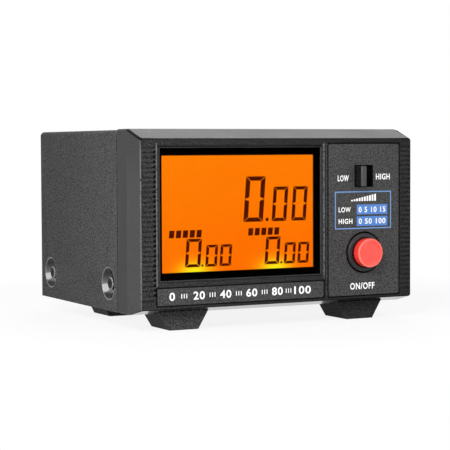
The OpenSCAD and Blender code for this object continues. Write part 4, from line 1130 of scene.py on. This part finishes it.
bm = bmesh.new()
scale_ends = []
for i in range(6):
    number = str(20 * i)
    middle, half = SCALE_LEFT + SCALE_STEP * i, HALF_WIDTHS[len(number)]
    lettering(bm, number, middle - half, SCALE_LOW, middle + half, SCALE_TOP)
    scale_ends.append((middle - half, middle + half))
for (_, right), (left, _) in zip(scale_ends, scale_ends[1:]):
    for tick in (-TICK_STEP, 0, TICK_STEP):
        tick_x = (right + left) / 2 + tick
        patch(bm, tick_x - TICK_HALF, TICK_LOW, tick_x + TICK_HALF, TICK_TOP)
for word in PANEL_WORDS:
    lettering(bm, *word)
for i in range(10):
    bar_left = BARS_LEFT + i * BAR_STEP
    patch(bm, bar_left, BARS_LOW, bar_left + BAR_WIDE, BARS_LOW + BAR_LEAST + i * BAR_GROWTH)
keep("panel_print_white", flat_print(bm, front * MM), print_white)

# %% Blue label
FRAME_BOX, FRAME_LINE = (24.0, 36.5, 50.3, 51.4), 0.42
LABEL_ROWS = ((34.1, 42.2, 48.5, 46.1), (34.1, 37.6, 48.5, 41.4))
LABEL_NUMBERS = (("0 5 10 15", 35.0, 43.0, 47.6, 45.2), ("0 50 100", 35.0, 38.4, 47.6, 40.6))

bm = bmesh.new()
for row in LABEL_ROWS:
    patch(bm, *row)
keep("panel_print_blue", flat_print(bm, front * MM), print_blue)

bm = bmesh.new()
inside = patch(bm, *FRAME_BOX)[0].link_faces[:]
bmesh.ops.inset_individual(bm, faces=inside, thickness=FRAME_LINE, use_even_offset=True)
bmesh.ops.delete(bm, geom=inside, context="FACES")
keep("panel_print_frame", flat_print(bm, front * MM), frame_blue)

bm = bmesh.new()
for numbers in LABEL_NUMBERS:
    lettering(bm, *numbers, REGULAR)
keep("panel_print_numbers", flat_print(bm, (front - INK) * MM), print_white)

# %% [markdown]
# ## Screw heads
# All the screws have pan heads with a cross recess. The recess could be cut with a
# boolean, which often leaves poor faces. Here a head starts as a fine grid, and a cross
# of its middle cells is pushed down. The grid's edge is drawn out to a circle, the
# circle further out and down, and the last ring is closed as the seat.

# %% Cross screw
GRID_CELLS, GRID_SHARE = 9, 0.6
RECESS_DEPTH, RECESS_TAPER = 0.45, 0.75
ARM_HALF, ARM_LENGTH = 0.1, 0.6
HEAD_RINGS = ((0.8, 0.05), (0.93, 0.14), (1.0, 0.33), (1.0, 0.48))


def in_cross(face, half):
    """True for a cell of the grid that lies in the arms of the recess."""
    at = face.calc_center_median()
    near, far = sorted((abs(at.x), abs(at.y)))
    return near < ARM_HALF * half and far < ARM_LENGTH * half


def cross_screw(bm, place, radius, height):
    """Adds a pan head in millimetres, with its seat at the origin of a placing matrix."""
    before = set(bm.verts)
    half = radius * GRID_SHARE
    grid = bmesh.ops.create_grid(bm, x_segments=GRID_CELLS, y_segments=GRID_CELLS, size=half)["verts"]
    cells = {f for v in grid for f in v.link_faces}
    turned = [e for f in cells for e in f.edges if len(e.link_faces) == 1]
    cross = [f for f in cells if in_cross(f, half)]
    bottom = made_verts(bmesh.ops.extrude_face_region(bm, geom=cross)["geom"])
    bmesh.ops.translate(bm, vec=(0, 0, -height * RECESS_DEPTH), verts=bottom)
    bmesh.ops.scale(bm, vec=(RECESS_TAPER, RECESS_TAPER, 1), verts=bottom)
    bmesh.ops.delete(bm, geom=[f for f in cross if f.is_valid], context="FACES_ONLY")
    for reach, drop in HEAD_RINGS:
        drawn = bmesh.ops.extrude_edge_only(bm, edges=turned)["geom"]
        circle = made_verts(drawn)
        turned = [e for e in drawn
                  if isinstance(e, bmesh.types.BMEdge) and all(v in circle for v in e.verts)]
        for v in circle:
            v.co.xy *= reach * radius / v.co.xy.length
        bmesh.ops.translate(bm, vec=(0, 0, -height * drop), verts=circle)
    bmesh.ops.edgeloop_fill(bm, edges=turned)
    head = [v for v in bm.verts if v not in before]
    bmesh.ops.recalc_face_normals(bm, faces=list({f for v in head for f in v.link_faces}))
    seated = place @ Matrix.Scale(MM, 4) @ Matrix.Translation((0, 0, height))
    bmesh.ops.transform(bm, verts=head, matrix=seated)


print("a head is drawn out in", len(HEAD_RINGS), "rings")

# %% [markdown]
# ## The screws in their places
# Four screws hold the cover, four each socket and one each foot. The heads could be
# copies of one mesh, but one joined piece for each group is easier to reuse, so the
# helper adds every head at its own placing matrix. The cover's heads share one turn.
# Those behind and below each have their own, because screws rarely stop alike.

# %% Cover screws
COVER_HEAD, COVER_TURN = 1.7, 0.6

bm = bmesh.new()
head_x = screw_high.x - COVER_HEAD
for direction in (-1, 1):
    for dish_y in dish_ys:
        place = Matrix.Translation((direction * head_x * MM, dish_y * MM, dish_z * MM))
        outward = Matrix.Rotation(direction * math.pi / 2, 4, "Y")
        turn = Matrix.Rotation(COVER_TURN, 4, "Z")
        cross_screw(bm, place @ outward @ turn, SCREW_R, COVER_HEAD)
keep("cover_screw_heads", bm, screw_black, replaces=["cover_screws"])

# %% Socket screws
SOCKETS = ("hf_tx", "hf_ant", "vhf_tx", "vhf_ant")
FLANGE, FLANGE_HOLES = 2.5 * MM, 9.15 * MM
SOCKET_SCREW_R, SOCKET_HEAD = 2.7, 1.8
SOCKET_TURN, HOLE_TURN = 0.5, 0.9

bm = bmesh.new()
for i, name in enumerate(SOCKETS):
    low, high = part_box(name + "_socket")
    middle = (low + high) / 2
    for j, (x, z) in enumerate(((-1, -1), (1, -1), (-1, 1), (1, 1))):
        place = Matrix.Translation(
            (middle.x + x * FLANGE_HOLES, low.y + FLANGE, middle.z + z * FLANGE_HOLES))
        outward = Matrix.Rotation(-math.pi / 2, 4, "X")
        turn = Matrix.Rotation(SOCKET_TURN * i + HOLE_TURN * j, 4, "Z")
        cross_screw(bm, place @ outward @ turn, SOCKET_SCREW_R, SOCKET_HEAD)
keep("socket_screw_heads", bm, screw_steel, replaces=["socket_screws"])

# %% Foot screws
FOOT_SCREW_R, FOOT_HEAD = 2.7, 2.0
TURN_BY_X, TURN_BY_Y = 9, 7

low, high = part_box("foot_screws")
bm = bmesh.new()
for x in (low.x + FOOT_SCREW_R * MM, high.x - FOOT_SCREW_R * MM):
    for y in (low.y + FOOT_SCREW_R * MM, high.y - FOOT_SCREW_R * MM):
        place = Matrix.Translation((x, y, low.z + FOOT_HEAD * MM))
        downward = Matrix.Rotation(math.pi, 4, "X")
        turn = Matrix.Rotation(x * TURN_BY_X + y * TURN_BY_Y, 4, "Z")
        cross_screw(bm, place @ downward @ turn, FOOT_SCREW_R, FOOT_HEAD)
keep("foot_screw_heads", bm, screw_black, replaces=["foot_screws"])

# %% [markdown]
# ## Coaxial sockets and inlet
# Each socket's barrel carries a fine thread for the ring of a plug. Rings would look
# alike from afar, but a thread climbs, so a small section is spun about the axis
# while it moves along it, which makes one helical ridge. The barrel under it is drawn in
# to the thread's root.

# %% Sockets
BARREL_R, ROOT_R = 7.94, 7.36
THREAD_START, THREAD_TURNS, THREAD_PITCH, THREAD_STEPS = 0.9 * MM, 10, 1.058 * MM, 40
RIDGE = ((7.3, -0.46), (7.92, -0.06), (7.92, 0.06), (7.3, 0.46))
SOCKET_ROUND, INSERT_ROUND, INLET_ROUND = 0.15, 0.12, 0.1

for name in SOCKETS:
    low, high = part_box(name + "_socket")
    axis_x, axis_z = (low.x + high.x) / 2, (low.z + high.z) / 2
    flange_end = low.y + FLANGE
    bm = welded(name + "_socket")
    barrel = [v for v in bm.verts if v.co.y > flange_end - 0.01 * MM
              and abs(math.hypot(v.co.x - axis_x, v.co.z - axis_z) - BARREL_R * MM) < 0.06 * MM]
    bmesh.ops.scale(bm, vec=(ROOT_R / BARREL_R, 1, ROOT_R / BARREL_R), verts=barrel,
                    space=Matrix.Translation((-axis_x, 0, -axis_z)))
    soften(bm, SOCKET_ROUND)
    keep(name + "_shell", bm, socket_nickel, replaces=[name + "_socket"])

    bm = bmesh.new()
    start = flange_end + THREAD_START
    bm.faces.new([bm.verts.new((axis_x + r * MM, start + share * THREAD_PITCH, axis_z))
                  for r, share in RIDGE])
    bmesh.ops.spin(bm, geom=bm.verts[:] + bm.edges[:] + bm.faces[:],
                   cent=(axis_x, start, axis_z), axis=(0, 1, 0),
                   dvec=(0, THREAD_PITCH / THREAD_STEPS, 0),
                   angle=2 * math.pi * THREAD_TURNS, steps=THREAD_STEPS * THREAD_TURNS)
    bmesh.ops.recalc_face_normals(bm, faces=bm.faces)
    keep(name + "_thread", bm, socket_nickel)

    for part, finish, slot in (("_insulator", insulator_white, "insulator_white"),
                               ("_contact", contact_brass, "contact_brass")):
        bm = welded(name + part)
        soften(bm, INSERT_ROUND)
        keep(name + part + "_turned", bm, finish, replaces=[name + part])

# %% Inlet
bm = welded("inlet_body")
soften(bm, INLET_ROUND)
keep("inlet_shell", bm, collar_black, replaces=["inlet_body"])

# %% [markdown]
# ## Floor
# The photograph has a white ground. A plain white floor would look grey, because it
# only gets as much light as the lamps give, so to the camera it is mostly a glow,
# and the rest is a sheet that keeps the shadow. Further out it is all glow, which
# hides where the floor ends.

# %% Floor
FLOOR_HALF = 6
NEAR_GLOW, FAR_GLOW = 0.86, 0.14


def seen_directly(wiring):
    """1 for rays from the camera, a reflection or the window, and 0 for those that light things."""
    rays = ("Is Camera Ray", "Is Glossy Ray", "Is Transmission Ray")
    return sum(wiring.add("ShaderNodeLightPath", output=ray) for ray in rays).ramp(0, 1)


sheet = Finish("floor_sheet", (0.9, 0.9, 0.9), 0.7, Specular_IOR_Level=0.2)
far = (sheet.axis("X") ** 2 + sheet.axis("Y") ** 2).ramp(0.012, 0.05)
white = sheet.add("ShaderNodeEmission", sockets={"Strength": 1.0})
sheet.cover(seen_directly(sheet) * (NEAR_GLOW + far * FAR_GLOW), white)
bm = bmesh.new()
bmesh.ops.create_grid(bm, x_segments=1, y_segments=1, size=FLOOR_HALF)
floor_mesh = bpy.data.meshes.new("floor")
bm.to_mesh(floor_mesh)
bm.free()
floor_mesh.materials.append(sheet.material)
floor = bpy.data.objects.new("floor", floor_mesh)
bpy.context.scene.collection.objects.link(floor)
print("floor", 2 * FLOOR_HALF, "m wide")

# %% [markdown]
# ## Studio light
# The world is white to the camera and to reflections but weaker as a light, so that
# the lamps shape the case. One large soft lamp hangs above and behind, which is what
# makes the sloped brow pale, and three weaker ones fill the front, the left side and
# the corner between them.

# %% World and lamps
WORLD_LIGHT = 0.25
CASE_MIDDLE = (0, 0, 0.04)

world = bpy.data.worlds.new("studio")
world.use_nodes = True
bpy.context.scene.world = world
air = Wiring(world.node_tree)
background = world.node_tree.nodes["Background"]
air.plug(background.inputs["Color"], (1, 1, 1, 1))
air.plug(background.inputs["Strength"], seen_directly(air) * (1 - WORLD_LIGHT) + WORLD_LIGHT)


def softbox(name, at, toward, size, power):
    """A square area lamp that faces a point: metres and watts."""
    data = bpy.data.lights.new(name, "AREA")
    data.size = size
    data.energy = power
    lamp = bpy.data.objects.new(name, data)
    facing = (Vector(toward) - Vector(at)).to_track_quat("-Z", "Y").to_matrix().to_4x4()
    lamp.matrix_world = Matrix.Translation(at) @ facing
    bpy.context.scene.collection.objects.link(lamp)


softbox("lamp_above", (0.5, 0.7, 0.75), CASE_MIDDLE, 0.7, 4)
softbox("lamp_left", (-0.97, 0.02, 0.32), CASE_MIDDLE, 0.6, 3.9)
softbox("lamp_front", (0.3, -1.1, 0.6), CASE_MIDDLE, 0.7, 4.5)
softbox("lamp_near", (-0.3, -0.36, 0.27), (-0.04, -0.04, 0.04), 0.16, 2)
print("lamps:", [light.name for light in bpy.data.lights])
